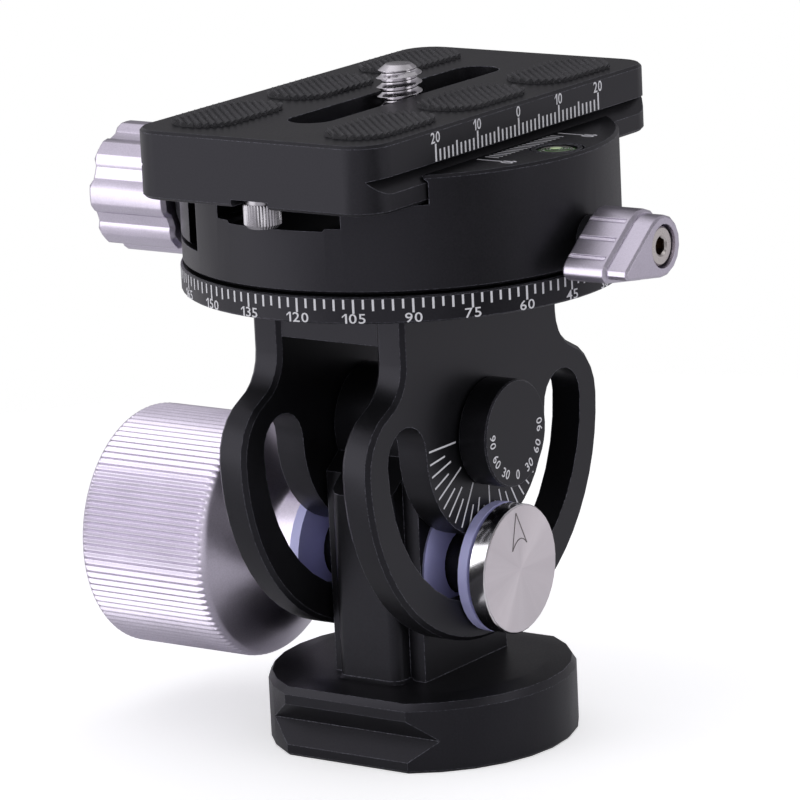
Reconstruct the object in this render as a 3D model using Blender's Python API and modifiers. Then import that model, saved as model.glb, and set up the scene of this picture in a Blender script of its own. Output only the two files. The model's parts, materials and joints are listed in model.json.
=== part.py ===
"""Two-way panoramic head: foot and post, tilting yoke, panning drum with its clamp, and plate.

Sizes are in metres, +Z up. Every piece is written in one frame whose Z axis is the pan axis and
whose floor is the foot's face, and one empty then centres the assembly on the origin.
The tilt axis runs along X, and the plate slides along Y.
"""

import math

import bmesh
import bpy
from mathutils import Matrix, Vector

# Clearances and machined edges
GAP = 0.0003
OVERRUN = 0.002
EDGE = 0.0004
MERGE = 0.00001
FLAT_ANGLE = math.radians(0.5)
SHARP_ANGLE = math.radians(40)
SHADE_ANGLE = math.radians(35)

# Foot
FOOT_RADIUS = 0.0217
FOOT_HALF_FLATS = 0.0192
FOOT_EDGE = 0.00035
FOOT_WALL_HEIGHT = 0.00885
FOOT_CHAMFER_WIDTH = 0.0006
FOOT_CHAMFER_HEIGHT = 0.0010
FOOT_CROWN_WIDTH = 0.0029
FOOT_CROWN_HEIGHT = 0.00048
FOOT_GROOVE_DEPTH = 0.0026
FOOT_LOWER_LIP = 0.0016
FOOT_UPPER_LIP = 0.0014
BUSHING_RADIUS = 0.00476
BUSHING_BORE_RADIUS = 0.0031
BUSHING_LENGTH = 0.0080
BUSHING_SLOT_WIDTH = 0.0012
BUSHING_SLOT_DEPTH = 0.0014

# Post
POST_SIDE_GAP = 0.0004
POST_BASE_FILLET = 0.0010
PILLAR_HALF_WIDTH = 0.0051
PILLAR_HALF_DEPTH = 0.0133
PILLAR_CORNER = 0.0015
SHOULDER_DROP = 0.0078
SHOULDER_SLOPE = math.radians(36.5)
EYE_RADIUS = 0.0078

# Yoke
CHEEK_GAP = 0.0159
CHEEK_THICKNESS = 0.0046
CHEEK_RIM = 0.0047
CHEEK_DROP = 0.0007
CHEEK_CORNER = 0.0087
CHEEK_EDGE = 0.0006
NECK_HALF_WIDTH = 0.0190
NECK_FILLET = 0.0060
ARCH_RISE = 0.01525
RING_RISE = 0.0207
RING_LEDGE = 0.0003
RING_THICKNESS = 0.00365
SLOT_RADIUS = 0.0193
SLOT_HALF_WIDTH = 0.0046
SLOT_HALF_ANGLE = math.radians(90)

# Tilt pivot
PIVOT_RADIUS = 0.0040
PIVOT_SEAT_DEPTH = 0.0030
BOSS_RADIUS = 0.0075
BOSS_THICKNESS = 0.0046
PIVOT_HEAD_RADIUS = 0.0058
PIVOT_HEAD_THICKNESS = 0.0014

# Tilt lock
LOCK_RISE = 0.01487
BOLT_RADIUS = 0.0030
BOLT_REACH = 0.0110
SLEEVE_RADIUS = 0.0042
INNER_WASHER_RADIUS = 0.0096
INNER_WASHER_THICKNESS = 0.0010
RIGHT_WASHER_RADIUS = 0.00905
RIGHT_WASHER_THICKNESS = 0.0014
LEFT_WASHER_RADIUS = 0.0107
LEFT_WASHER_THICKNESS = 0.0015
CAP_RADIUS = 0.00905
CAP_THICKNESS = 0.0027
CAP_SEAT_DEPTH = 0.0018
KNOB_OVERHANG = 0.00238
KNOB_NECK_DEPTH = 0.0077
KNOB_NECK_FILLET = 0.0020
KNOB_BROW = 0.0012
KNOB_LEAN = math.radians(50)
KNOB_SHOULDER_LENGTH = 0.0107
KNOB_GRIP_LENGTH = 0.0211
KNOB_CHAMFER = 0.0008
KNOB_RIDGES = 84
KNOB_RIDGE_DEPTH = 0.00035
KNOB_RIM = 0.0002
KNOB_ROUND_STEPS = 3
INSERT_RADIUS = 0.0055
INSERT_LENGTH = 0.0095

# Pan bearing
AXLE_RADIUS = 0.0050
AXLE_HEAD_RADIUS = 0.0070
AXLE_HEAD_THICKNESS = 0.0023
AXLE_HEAD_RECESS = 0.0006
AXLE_NUT_RADIUS = 0.0072
AXLE_NUT_THICKNESS = 0.0026
AXLE_NUT_DEPTH = 0.0030
PAN_WASHER_RADIUS = 0.0200
PAN_WASHER_THICKNESS = 0.0005

# Drum and clamp bed
DRUM_RADIUS = 0.0304
DRUM_HEIGHT = 0.0118
JAW_RISE = 0.0039
STOP_RECESS_HALF_WIDTH = 0.0101
STOP_RECESS_DEPTH = 0.0029
STOP_CHANNEL_HALF_WIDTH = 0.0076
STOP_CHANNEL_DEPTH = 0.0033
STOP_RECESS_START = 0.0090
JAW_DEPTH = 0.0146
JAW_WIDTH = 0.0104
JAW_POCKET_DEPTH = 0.0085
BUBBLE_INSET = 0.0044
BUBBLE_RADIUS = 0.0035
BUBBLE_WALL = 0.0006
BUBBLE_DEPTH = 0.0030
BUBBLE_FLOOR = 0.0007

# Pan lock
PAN_LOCK_RISE = 0.0035
PAN_SCREW_RADIUS = 0.0020
PAN_SHOE_LENGTH = 0.0030
PAN_COLLAR_RADIUS = 0.0035
PAN_COLLAR_THICKNESS = 0.0015
WING_HUB_RADIUS = 0.0048
WING_HUB_LENGTH = 0.0068
WING_REACH = 0.0088
WING_DROP = 0.0022
WING_TIP_RADIUS = 0.0014
WING_STEP = 0.0006
WING_STEP_LENGTH = 0.0031
WING_RECESS_RADIUS = 0.0030
WING_RECESS_DEPTH = 0.0020
WING_SOCKET_DEPTH = 0.0040
WING_FLUTES = 3
WING_FLUTE_RADIUS = 0.0004
WING_FLUTE_PITCH = 0.0034
WING_FLUTE_START = 0.0003
WING_FLUTE_STOP = 0.0008
WING_SCREW_RADIUS = 0.0012
WING_SCREW_HEAD_RADIUS = 0.0027
WING_SCREW_HEAD_THICKNESS = 0.0013

# Movable jaw
JAW_BOSS_RADIUS = 0.0074
JAW_BOSS_LENGTH = 0.0027
JAW_FOOT_GAP = 0.0004
JAW_PLAY = 0.0006
JAW_HUB_RADIUS = 0.0036
JAW_TRAVEL = 0.0025
CLAMP_AXIS_RISE = 0.0055
CLAMP_SCREW_RADIUS = 0.0025
CLAMP_THREAD_WALL = 0.0010
CLAMP_WASHER_RADIUS = 0.0050
CLAMP_WASHER_THICKNESS = 0.0012
CLAMP_KNOB_RADIUS = 0.0092
CLAMP_KNOB_LENGTH = 0.0135
CLAMP_KNOB_LOBES = 8
CLAMP_KNOB_FLUTE_DEPTH = 0.0009
CLAMP_KNOB_EDGE = 0.0006
CLAMP_SOCKET_DEPTH = 0.0100
GUIDE_PIN_RADIUS = 0.0015
GUIDE_PIN_SPACING = 0.0260
GUIDE_PIN_GRIP = 0.0050
GUIDE_PIN_REACH = 0.0050
GUIDE_PIN_RISE = 0.0062

# Plate
PLATE_OVERHANG = 0.0046
PLATE_THICKNESS = 0.0094
PLATE_CORNER = 0.0048
PLATE_LIP_HEIGHT = 0.0026
PLATE_GROOVE_DEPTH = 0.0018
PLATE_GROOVE_APEX = 0.0046
PLATE_GROOVE_TOP = 0.0049
PLATE_CHANNEL_HALF_WIDTH = 0.0030
PLATE_CHANNEL_DEPTH = 0.0010
PLATE_SLOT_HALF_WIDTH = 0.0034
PLATE_SLOT_INSET = 0.0120
PLATE_POCKET_HALF_WIDTH = 0.0066
PLATE_POCKET_INSET = 0.0080
PLATE_POCKET_DEPTH = 0.0050

# Pads
PAD_GAP = 0.0049
PAD_INNER_LAND = 0.0046
PAD_OUTER_LAND = 0.00295
PAD_CORNER = 0.0040
PAD_THICKNESS = 0.0010
PAD_PROUD = 0.0007
PAD_END_LAND = 0.0046

# Camera screw
SCREW_SHIFT = 0.0010
THREAD_RADIUS = 0.003175
THREAD_PROUD = 0.0041
THREAD_CHAMFER = 0.0010
SCREW_HEAD_RADIUS = 0.0060
SCREW_HEAD_THICKNESS = 0.0032
SCREW_SLOT_WIDTH = 0.0014
SCREW_WASHER_THICKNESS = 0.0008

# Safety stops
STOP_RADIUS = 0.0026
STOP_INSET = 0.0030
STOP_HEAD_HEIGHT = 0.0030
STOP_EDGE = 0.0005
STOP_SHANK_RADIUS = 0.0014
STOP_SHANK_LENGTH = 0.0040
STOP_RIDGES = 20
STOP_RIDGE_DEPTH = 0.00015

# Facets
RIM = 72
ROUND = 36
SMALL_ROUND = 24
TINY_ROUND = 12
ARC = 10
PILLAR_STEPS = 3
FILLET_STEPS = 3
CORNER_STEPS = 5
LOBE_STEPS = 8

# Places that follow from the sizes
CHEEK_INNER = CHEEK_GAP / 2
CHEEK_OUTER = CHEEK_INNER + CHEEK_THICKNESS
CHEEK_RADIUS = SLOT_RADIUS + SLOT_HALF_WIDTH + CHEEK_RIM
FOOT_HEIGHT = FOOT_WALL_HEIGHT + FOOT_CHAMFER_HEIGHT + FOOT_CROWN_HEIGHT
POST_HALF_WIDTH = CHEEK_INNER - POST_SIDE_GAP
POST_HALF_DEPTH = INNER_WASHER_RADIUS + 2 * GAP
LOCK_HEIGHT = FOOT_HEIGHT + LOCK_RISE
PIVOT_HEIGHT = LOCK_HEIGHT + SLOT_RADIUS
ARCH_TOP = PIVOT_HEIGHT + ARCH_RISE
RING_BOTTOM = PIVOT_HEIGHT + RING_RISE
RING_TOP = RING_BOTTOM + RING_THICKNESS
RING_RADIUS = DRUM_RADIUS + RING_LEDGE
DRUM_BOTTOM = RING_TOP + GAP
DRUM_FLOOR = DRUM_BOTTOM + DRUM_HEIGHT
JAW_TOP = DRUM_FLOOR + JAW_RISE
PLATE_BOTTOM = DRUM_FLOOR + GAP
PLATE_TOP = PLATE_BOTTOM + PLATE_THICKNESS
PLATE_HALF_WIDTH = DRUM_RADIUS - JAW_WIDTH
PLATE_HALF_LENGTH = DRUM_RADIUS + PLATE_OVERHANG
PLATE_SLOT_HALF_LENGTH = PLATE_HALF_LENGTH - PLATE_SLOT_INSET
PLATE_POCKET_HALF_LENGTH = PLATE_HALF_LENGTH - PLATE_POCKET_INSET
JAW_POCKET_WALL = DRUM_RADIUS - JAW_DEPTH
BUBBLE_X = DRUM_RADIUS - BUBBLE_INSET
PAN_LOCK_HEIGHT = DRUM_BOTTOM + PAN_LOCK_RISE
CLAMP_HEIGHT = DRUM_BOTTOM + CLAMP_AXIS_RISE
GUIDE_HEIGHT = DRUM_BOTTOM + GUIDE_PIN_RISE
RECESS_FLOOR = CHEEK_INNER - GAP - INNER_WASHER_THICKNESS - GAP
CAP_INNER = CHEEK_OUTER + GAP + RIGHT_WASHER_THICKNESS + GAP
KNOB_START = CHEEK_OUTER + GAP + LEFT_WASHER_THICKNESS + GAP
KNOB_END = KNOB_START + KNOB_SHOULDER_LENGTH + KNOB_GRIP_LENGTH
KNOB_RADIUS = LOCK_RISE + KNOB_OVERHANG
KNOB_NECK_RADIUS = KNOB_RADIUS - KNOB_NECK_DEPTH
JAW_BOSS_START = RING_RADIUS + GAP
JAW_BOSS_END = JAW_BOSS_START + JAW_BOSS_LENGTH
CLAMP_KNOB_START = JAW_BOSS_END + GAP
CLAMP_KNOB_END = CLAMP_KNOB_START + CLAMP_KNOB_LENGTH
COLLAR_START = DRUM_RADIUS + GAP
WING_START = COLLAR_START + PAN_COLLAR_THICKNESS + GAP
WING_STEP_START = WING_START + WING_HUB_LENGTH
WING_END = WING_STEP_START + WING_STEP_LENGTH
LEFT_END = max(KNOB_END, CLAMP_KNOB_END)
CENTRE_X = (WING_END - LEFT_END) / 2
NUT_POCKET_RADIUS = AXLE_NUT_RADIUS + GAP
NUT_POCKET_FLOOR = DRUM_FLOOR - STOP_RECESS_DEPTH - AXLE_NUT_DEPTH
CLAMP_THREAD_END = NUT_POCKET_RADIUS + CLAMP_THREAD_WALL

# Which way each axis's local frame is turned: local Z lies along the named axis
TURNS = {
    "X": Matrix(((0, 0, 1, 0), (1, 0, 0, 0), (0, 1, 0, 0), (0, 0, 0, 1))),
    "Y": Matrix(((1, 0, 0, 0), (0, 0, -1, 0), (0, 1, 0, 0), (0, 0, 0, 1))),
    "Z": Matrix.Identity(4),
}

RESTS = {}


def clear_scene():
    """Empty the scene, whatever it held."""
    for obj in list(bpy.data.objects):
        bpy.data.objects.remove(obj, do_unlink=True)
    for collection in list(bpy.data.collections):
        bpy.data.collections.remove(collection)


def new_collection(name):
    """A collection linked to the scene."""
    collection = bpy.data.collections.new(name)
    bpy.context.scene.collection.children.link(collection)
    return collection


def new_material(name, colour, roughness, metallic):
    """A plain Principled BSDF."""
    material = bpy.data.materials.new(name)
    material.use_nodes = True
    shader = material.node_tree.nodes["Principled BSDF"]
    shader.inputs["Base Color"].default_value = (*colour, 1.0)
    shader.inputs["Roughness"].default_value = roughness
    shader.inputs["Metallic"].default_value = metallic
    material.diffuse_color = (*colour, 1.0)
    return material


def joint_empty(name, point, holder):
    """An empty on a joint's axis; the pieces that move with the joint hang on it."""
    empty = bpy.data.objects.new(name, None)
    empty.empty_display_size = FOOT_RADIUS
    PARTS.objects.link(empty)
    RESTS[name] = Vector(point)
    if holder is None:
        empty.location = point
    else:
        hang(empty, holder, Matrix.Translation(point))
    return empty


def hang(obj, holder, place):
    """Parent an object to a holder, with its place given in the common frame."""
    obj.parent = holder
    obj.matrix_parent_inverse = Matrix.Translation(-RESTS[holder.name])
    obj.matrix_basis = place


def at(x=0.0, y=0.0, z=0.0, axis="Z"):
    """The frame of a shape that starts at a point, with its own Z along an axis."""
    return Matrix.Translation((x, y, z)) @ TURNS[axis]


def piece(name, mesh, place, holder, finish):
    """A visible solid of the assembly."""
    obj = bpy.data.objects.new(name, mesh)
    PARTS.objects.link(obj)
    hang(obj, holder, place)
    mesh.materials.clear()
    mesh.materials.append(FINISHES[finish])
    smooth(mesh)
    return obj


def tool(name, mesh, place, holder):
    """A solid that cuts a piece or is joined to it, and is not shown by itself."""
    obj = bpy.data.objects.new(name, mesh)
    CUTTERS.objects.link(obj)
    hang(obj, holder, place)
    smooth(mesh)
    obj.display_type = "WIRE"
    obj.hide_render = True
    return obj


def smooth(mesh):
    """Round walls shade smooth, and edges over 35 degrees stay sharp."""
    if mesh.polygons:
        mesh.shade_smooth()
        mesh.set_sharp_from_angle(angle=SHADE_ANGLE)


def apply_boolean(target, other, operation):
    """One exact Boolean modifier, kept on the target."""
    modifier = target.modifiers.new(other.name, "BOOLEAN")
    modifier.operation = operation
    modifier.solver = "EXACT"
    modifier.object = other


def cut(target, *others):
    """Take each of the other solids out of the target."""
    for other in others:
        apply_boolean(target, other, "DIFFERENCE")


def join(target, *others):
    """Join each of the other solids to the target."""
    for other in others:
        apply_boolean(target, other, "UNION")


def keep_inside(target, other):
    """Keep what lies inside both solids."""
    apply_boolean(target, other, "INTERSECT")


def round_edges(obj, width):
    """Break the sharp edges of a piece."""
    bevel = obj.modifiers.new("edges", "BEVEL")
    bevel.width = width
    bevel.segments = 1
    bevel.limit_method = "ANGLE"
    bevel.angle_limit = SHARP_ANGLE
    bevel.use_clamp_overlap = True


def mesh_from(name, bm):
    """Turn a bmesh into a mesh whose faces point out."""
    bmesh.ops.recalc_face_normals(bm, faces=bm.faces)
    mesh = bpy.data.meshes.new(name)
    bm.to_mesh(mesh)
    bm.free()
    return mesh


def box(name, low, high):
    """A box between two corners."""
    size = Vector(high) - Vector(low)
    middle = (Vector(high) + Vector(low)) / 2
    bm = bmesh.new()
    bmesh.ops.create_cube(bm, size=1.0)
    bmesh.ops.scale(bm, vec=size, verts=bm.verts)
    bmesh.ops.translate(bm, vec=middle, verts=bm.verts)
    return mesh_from(name, bm)


def rod(name, radius, length, sides=SMALL_ROUND, end_radius=None, start=0.0):
    """A cylinder or a cone that runs up its own Z axis."""
    bm = bmesh.new()
    end_radius = radius if end_radius is None else end_radius
    bmesh.ops.create_cone(
        bm, cap_ends=True, segments=sides, radius1=radius, radius2=end_radius, depth=length)
    bmesh.ops.translate(bm, vec=(0, 0, start + length / 2), verts=bm.verts)
    return mesh_from(name, bm)


def flat_shape(name, loops, thickness, start=0.0):
    """A flat outline with any holes, drawn as a 2D curve and given a thickness."""
    curve = bpy.data.curves.new(name, "CURVE")
    curve.dimensions = "2D"
    curve.fill_mode = "BOTH"
    curve.extrude = thickness / 2
    for loop in loops:
        spline = curve.splines.new("POLY")
        spline.points.add(len(loop) - 1)
        for point, (x, y) in zip(spline.points, loop):
            point.co = (x, y, 0.0, 1.0)
        spline.use_cyclic_u = True
    drawn = bpy.data.objects.new(name, curve)
    CUTTERS.objects.link(drawn)
    depsgraph = bpy.context.evaluated_depsgraph_get()
    mesh = bpy.data.meshes.new_from_object(drawn.evaluated_get(depsgraph))
    bpy.data.objects.remove(drawn, do_unlink=True)
    bpy.data.curves.remove(curve)
    bm = bmesh.new()
    bm.from_mesh(mesh)
    bmesh.ops.remove_doubles(bm, verts=bm.verts, dist=MERGE)
    bmesh.ops.dissolve_limit(bm, angle_limit=FLAT_ANGLE, verts=bm.verts, edges=bm.edges)
    bmesh.ops.translate(bm, vec=(0, 0, start + thickness / 2), verts=bm.verts)
    bmesh.ops.recalc_face_normals(bm, faces=bm.faces)
    bm.to_mesh(mesh)
    bm.free()
    mesh.name = name
    return mesh


def profile_mesh(name, points):
    """An open profile of radius and height, ready for a Screw modifier."""
    mesh = bpy.data.meshes.new(name)
    edges = [(index, index + 1) for index in range(len(points) - 1)]
    mesh.from_pydata([(radius, 0.0, height) for radius, height in points], edges, [])
    return mesh


def turn(obj, steps):
    """Spin an object's profile about its own Z axis."""
    screw = obj.modifiers.new("turned", "SCREW")
    screw.axis = "Z"
    screw.angle = math.tau
    screw.steps = steps
    screw.render_steps = steps
    screw.use_merge_vertices = True
    screw.merge_threshold = MERGE
    screw.use_smooth_shade = True
    return obj


def arc(centre, radius, start, end, steps=ARC):
    """Points along an arc, both ends included; the angles are in radians."""
    points = []
    for step in range(steps + 1):
        angle = start + (end - start) * step / steps
        points.append((centre[0] + radius * math.cos(angle), centre[1] + radius * math.sin(angle)))
    return points


def rounded_rectangle(half_width, half_length, radius, steps=6):
    """A rectangle about the origin with round corners."""
    points = []
    corners = ((1, 1, 0), (-1, 1, 1), (-1, -1, 2), (1, -1, 3))
    for side_x, side_y, quarter in corners:
        centre = (side_x * (half_width - radius), side_y * (half_length - radius))
        start = quarter * math.pi / 2
        points += arc(centre, radius, start, start + math.pi / 2, steps)
    return points


def ridged_circle(radius, depth, ridges):
    """A circle whose edge goes in and out in straight ridges."""
    points = []
    for index in range(2 * ridges):
        angle = math.pi * index / ridges
        reach = radius - depth * (index % 2)
        points.append((reach * math.cos(angle), reach * math.sin(angle)))
    return points


def loft(name, rings):
    """A closed solid through level outlines of equally many points, each with its height."""
    bm = bmesh.new()
    loops = [[bm.verts.new((x, y, height)) for x, y in outline] for outline, height in rings]
    for lower, upper in zip(loops, loops[1:]):
        for index in range(len(lower)):
            after = (index + 1) % len(lower)
            bm.faces.new((lower[index], lower[after], upper[after], upper[index]))
    bm.faces.new(loops[0])
    bm.faces.new(loops[-1])
    return mesh_from(name, bm)


def foot_outline(inset):
    """The foot's round outline with its two flats, drawn in by an even inset."""
    radius = FOOT_RADIUS - inset
    angle = math.asin((FOOT_HALF_FLATS - inset) / radius)
    return arc((0.0, 0.0), radius, -angle, angle) + arc((0.0, 0.0), radius, math.pi - angle, math.pi + angle)


def foot_mesh():
    """The foot: a wall between chamfers, and a shallow crown up to the post."""
    shoulder = FOOT_WALL_HEIGHT + FOOT_CHAMFER_HEIGHT
    return loft("base_post", (
        (foot_outline(FOOT_EDGE), 0.0),
        (foot_outline(0.0), FOOT_EDGE),
        (foot_outline(0.0), FOOT_WALL_HEIGHT),
        (foot_outline(FOOT_CHAMFER_WIDTH), shoulder),
        (foot_outline(FOOT_CHAMFER_WIDTH + FOOT_CROWN_WIDTH), FOOT_HEIGHT)))


def build_foot_and_post(holder):
    """The foot with its two grooved flats, and the waisted post, in one piece."""
    foot = piece("base_post", foot_mesh(), at(), holder, "black")
    low = FOOT_LOWER_LIP
    high = FOOT_WALL_HEIGHT - FOOT_UPPER_LIP
    for side in (-1, 1):
        mouth = side * FOOT_HALF_FLATS
        outside = side * (FOOT_HALF_FLATS + OVERRUN)
        apex = side * (FOOT_HALF_FLATS - FOOT_GROOVE_DEPTH)
        outline = [(mouth, low), (apex, (low + high) / 2), (mouth, high), (outside, high), (outside, low)]
        groove = flat_shape("foot_groove", [outline], 2 * FOOT_RADIUS, -FOOT_RADIUS)
        cut(foot, tool("foot_groove", groove, at(axis="X"), holder))
    join(foot, post_tool(holder))
    socket = rod("foot_socket", BUSHING_RADIUS + GAP, BUSHING_LENGTH + 2 * GAP + OVERRUN, SMALL_ROUND)
    bolt_bore = rod("post_bolt_bore", BOLT_RADIUS + GAP, 2 * CHEEK_GAP, SMALL_ROUND, start=-CHEEK_GAP)
    pivot_bore = rod("post_pivot_bore", PIVOT_RADIUS + GAP, 2 * CHEEK_GAP, SMALL_ROUND, start=-CHEEK_GAP)
    cut(
        foot,
        tool("foot_socket", socket, at(z=-OVERRUN), holder),
        tool("post_bolt_bore", bolt_bore, at(z=LOCK_HEIGHT, axis="X"), holder),
        tool("post_pivot_bore", pivot_bore, at(z=PIVOT_HEIGHT, axis="X"), holder))
    for name, start in (("right", RECESS_FLOOR), ("left", -RECESS_FLOOR - OVERRUN)):
        recess = rod("post_recess_" + name, INNER_WASHER_RADIUS + GAP, OVERRUN, ROUND, start=start)
        cut(foot, tool("post_recess_" + name, recess, at(z=LOCK_HEIGHT, axis="X"), holder))


def post_tool(holder):
    """The post: its body and pillars drawn up, kept inside its side outline with the round eye."""
    bottom = FOOT_HEIGHT - OVERRUN
    top = PIVOT_HEIGHT + EYE_RADIUS + OVERRUN
    body = box(
        "post",
        (-POST_HALF_WIDTH, -POST_HALF_DEPTH, bottom),
        (POST_HALF_WIDTH, POST_HALF_DEPTH, top))
    post = tool("post", body, at(), holder)
    pillars = flat_shape("pillars", [pillar_outline(0.0)], top - bottom, bottom)
    join(post, tool("pillars", pillars, at(), holder))
    outline = post_side_outline(bottom - OVERRUN)
    side = flat_shape("post_side", [outline], 2 * CHEEK_GAP, -CHEEK_GAP)
    keep_inside(post, tool("post_side", side, at(axis="X"), holder))
    join(post, tool("post_fillet", loft("post_fillet", fillet_rings(bottom)), at(), holder))
    return post


def fillet_rings(bottom):
    """The pillars' outline, spread out round their feet in a hollow curve."""
    rings = [(pillar_outline(POST_BASE_FILLET), bottom)]
    for step in range(FILLET_STEPS):
        angle = math.pi / 2 * step / FILLET_STEPS
        spread = POST_BASE_FILLET * (1 - math.sin(angle))
        rings.append((pillar_outline(spread), FOOT_HEIGHT + POST_BASE_FILLET * (1 - math.cos(angle))))
    return rings


def pillar_outline(spread):
    """The pillars' footprint, spread by an even margin."""
    return rounded_rectangle(
        PILLAR_HALF_WIDTH + spread, PILLAR_HALF_DEPTH + spread, PILLAR_CORNER + spread, PILLAR_STEPS)


def post_side_outline(bottom):
    """The sloped shoulders and the eye about the pivot, in Y and Z, open past the pillars."""
    start = Vector((PILLAR_HALF_DEPTH, -SHOULDER_DROP))
    along = Vector((-math.cos(SHOULDER_SLOPE), math.sin(SHOULDER_SLOPE)))
    middle = start.dot(along)
    reach = -middle - math.sqrt(middle ** 2 - start.length_squared + EYE_RADIUS ** 2)
    meeting = start + reach * along
    angle = math.atan2(meeting.y, meeting.x)
    eye = arc((0.0, PIVOT_HEIGHT), EYE_RADIUS, angle, math.pi - angle, 2 * ARC)
    outside = start - OVERRUN * along
    shoulder = PIVOT_HEIGHT + outside.y
    right = [(outside.x, bottom), (outside.x, shoulder)]
    left = [(-outside.x, shoulder), (-outside.x, bottom)]
    return right + eye + left


def build_bushing(holder):
    """The reducer bushing in the foot's socket, slotted for a screwdriver."""
    mesh = rod("base_bushing", BUSHING_RADIUS, BUSHING_LENGTH, SMALL_ROUND)
    bushing = piece("base_bushing", mesh, at(z=GAP), holder, "steel")
    bore = rod("bushing_bore", BUSHING_BORE_RADIUS, BUSHING_LENGTH + 2 * OVERRUN, TINY_ROUND)
    slot = box(
        "bushing_slot",
        (-FOOT_RADIUS, -BUSHING_SLOT_WIDTH / 2, -OVERRUN),
        (FOOT_RADIUS, BUSHING_SLOT_WIDTH / 2, GAP + BUSHING_SLOT_DEPTH))
    cut(
        bushing,
        tool("bushing_bore", bore, at(z=GAP - OVERRUN), holder),
        tool("bushing_slot", slot, at(), holder))


def build_tilt_lock(base, washer_joint):
    """The clamp bolt with its sleeves, friction washers and round cap."""
    left_end = KNOB_START + BOLT_REACH
    right_end = CAP_INNER + CAP_SEAT_DEPTH
    mesh = rod("lock_bolt", BOLT_RADIUS, left_end + right_end, SMALL_ROUND)
    piece("lock_bolt", mesh, at(-left_end, 0, LOCK_HEIGHT, "X"), base, "steel")
    tube("lock_sleeve_right", SLEEVE_RADIUS, BOLT_RADIUS + GAP,
         RECESS_FLOOR + GAP, CAP_INNER - GAP, base, "dark_steel")
    tube("lock_sleeve_left", SLEEVE_RADIUS, BOLT_RADIUS + GAP,
         -KNOB_START + GAP, -RECESS_FLOOR - GAP, base, "dark_steel")
    hole = SLEEVE_RADIUS + GAP
    inner = RECESS_FLOOR + GAP
    tube("washer_inner_right", INNER_WASHER_RADIUS, hole,
         inner, inner + INNER_WASHER_THICKNESS, base, "lavender")
    tube("washer_inner_left", INNER_WASHER_RADIUS, hole,
         -inner - INNER_WASHER_THICKNESS, -inner, base, "lavender")
    outer = CHEEK_OUTER + GAP
    tube("washer_outer_right", RIGHT_WASHER_RADIUS, hole,
         outer, outer + RIGHT_WASHER_THICKNESS, base, "lavender")
    tube("washer_outer_left", LEFT_WASHER_RADIUS, hole,
         -outer - LEFT_WASHER_THICKNESS, -outer, washer_joint, "lavender")
    mesh = rod("lock_cap", CAP_RADIUS, CAP_THICKNESS, ROUND)
    cap = piece("lock_cap", mesh, at(CAP_INNER, 0, LOCK_HEIGHT, "X"), base, "polished")
    round_edges(cap, EDGE / 2)
    seat = rod("cap_seat", BOLT_RADIUS + GAP, OVERRUN + CAP_SEAT_DEPTH + GAP, SMALL_ROUND)
    cut(cap, tool("cap_seat", seat, at(CAP_INNER - OVERRUN, 0, LOCK_HEIGHT, "X"), base))


def tube(name, radius, hole, start, end, holder, finish):
    """A washer or sleeve about the lock bolt's axis."""
    sides = ROUND if radius > SLEEVE_RADIUS else SMALL_ROUND
    ring = piece(name, rod(name, radius, end - start, sides), at(start, 0, LOCK_HEIGHT, "X"),
                 holder, finish)
    bore = rod(name + "_bore", hole, end - start + 2 * OVERRUN, SMALL_ROUND)
    cut(ring, tool(name + "_bore", bore, at(start - OVERRUN, 0, LOCK_HEIGHT, "X"), holder))


def build_tilt_knob(holder):
    """The large knob: ridged grip and smooth shoulder, with its threaded insert."""
    core = KNOB_RADIUS - KNOB_RIDGE_DEPTH - KNOB_RIM
    length = KNOB_SHOULDER_LENGTH + KNOB_GRIP_LENGTH
    profile = [(0.0, length), (KNOB_NECK_RADIUS, length)] + shoulder_profile(core)
    profile.append((core, KNOB_CHAMFER))
    profile.append((core - KNOB_CHAMFER, 0.0))
    profile.append((0.0, 0.0))
    knob = piece("tilt_knob", profile_mesh("tilt_knob", profile),
                 at(-KNOB_END, 0, LOCK_HEIGHT, "X"), holder, "silver")
    turn(knob, ROUND)
    outline = ridged_circle(KNOB_RADIUS, KNOB_RIDGE_DEPTH, KNOB_RIDGES)
    grip = flat_shape("knob_grip", [outline], KNOB_GRIP_LENGTH - KNOB_CHAMFER, KNOB_CHAMFER)
    join(knob, tool("knob_grip", grip, at(-KNOB_END, 0, LOCK_HEIGHT, "X"), holder))
    seat_length = INSERT_LENGTH + 2 * GAP
    seat = rod("insert_seat", INSERT_RADIUS + GAP, seat_length + OVERRUN, SMALL_ROUND)
    run_length = BOLT_REACH + GAP + OVERRUN
    run = rod("bolt_run", BOLT_RADIUS + GAP, run_length, SMALL_ROUND)
    cut(
        knob,
        tool("insert_seat", seat, at(-KNOB_START - seat_length, 0, LOCK_HEIGHT, "X"), holder),
        tool("bolt_run", run, at(-KNOB_START - BOLT_REACH - GAP, 0, LOCK_HEIGHT, "X"), holder))
    insert_start = -KNOB_START - GAP - INSERT_LENGTH
    tube("tilt_knob_insert", INSERT_RADIUS, BOLT_RADIUS + GAP,
         insert_start, insert_start + INSERT_LENGTH, holder, "brass")


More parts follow.
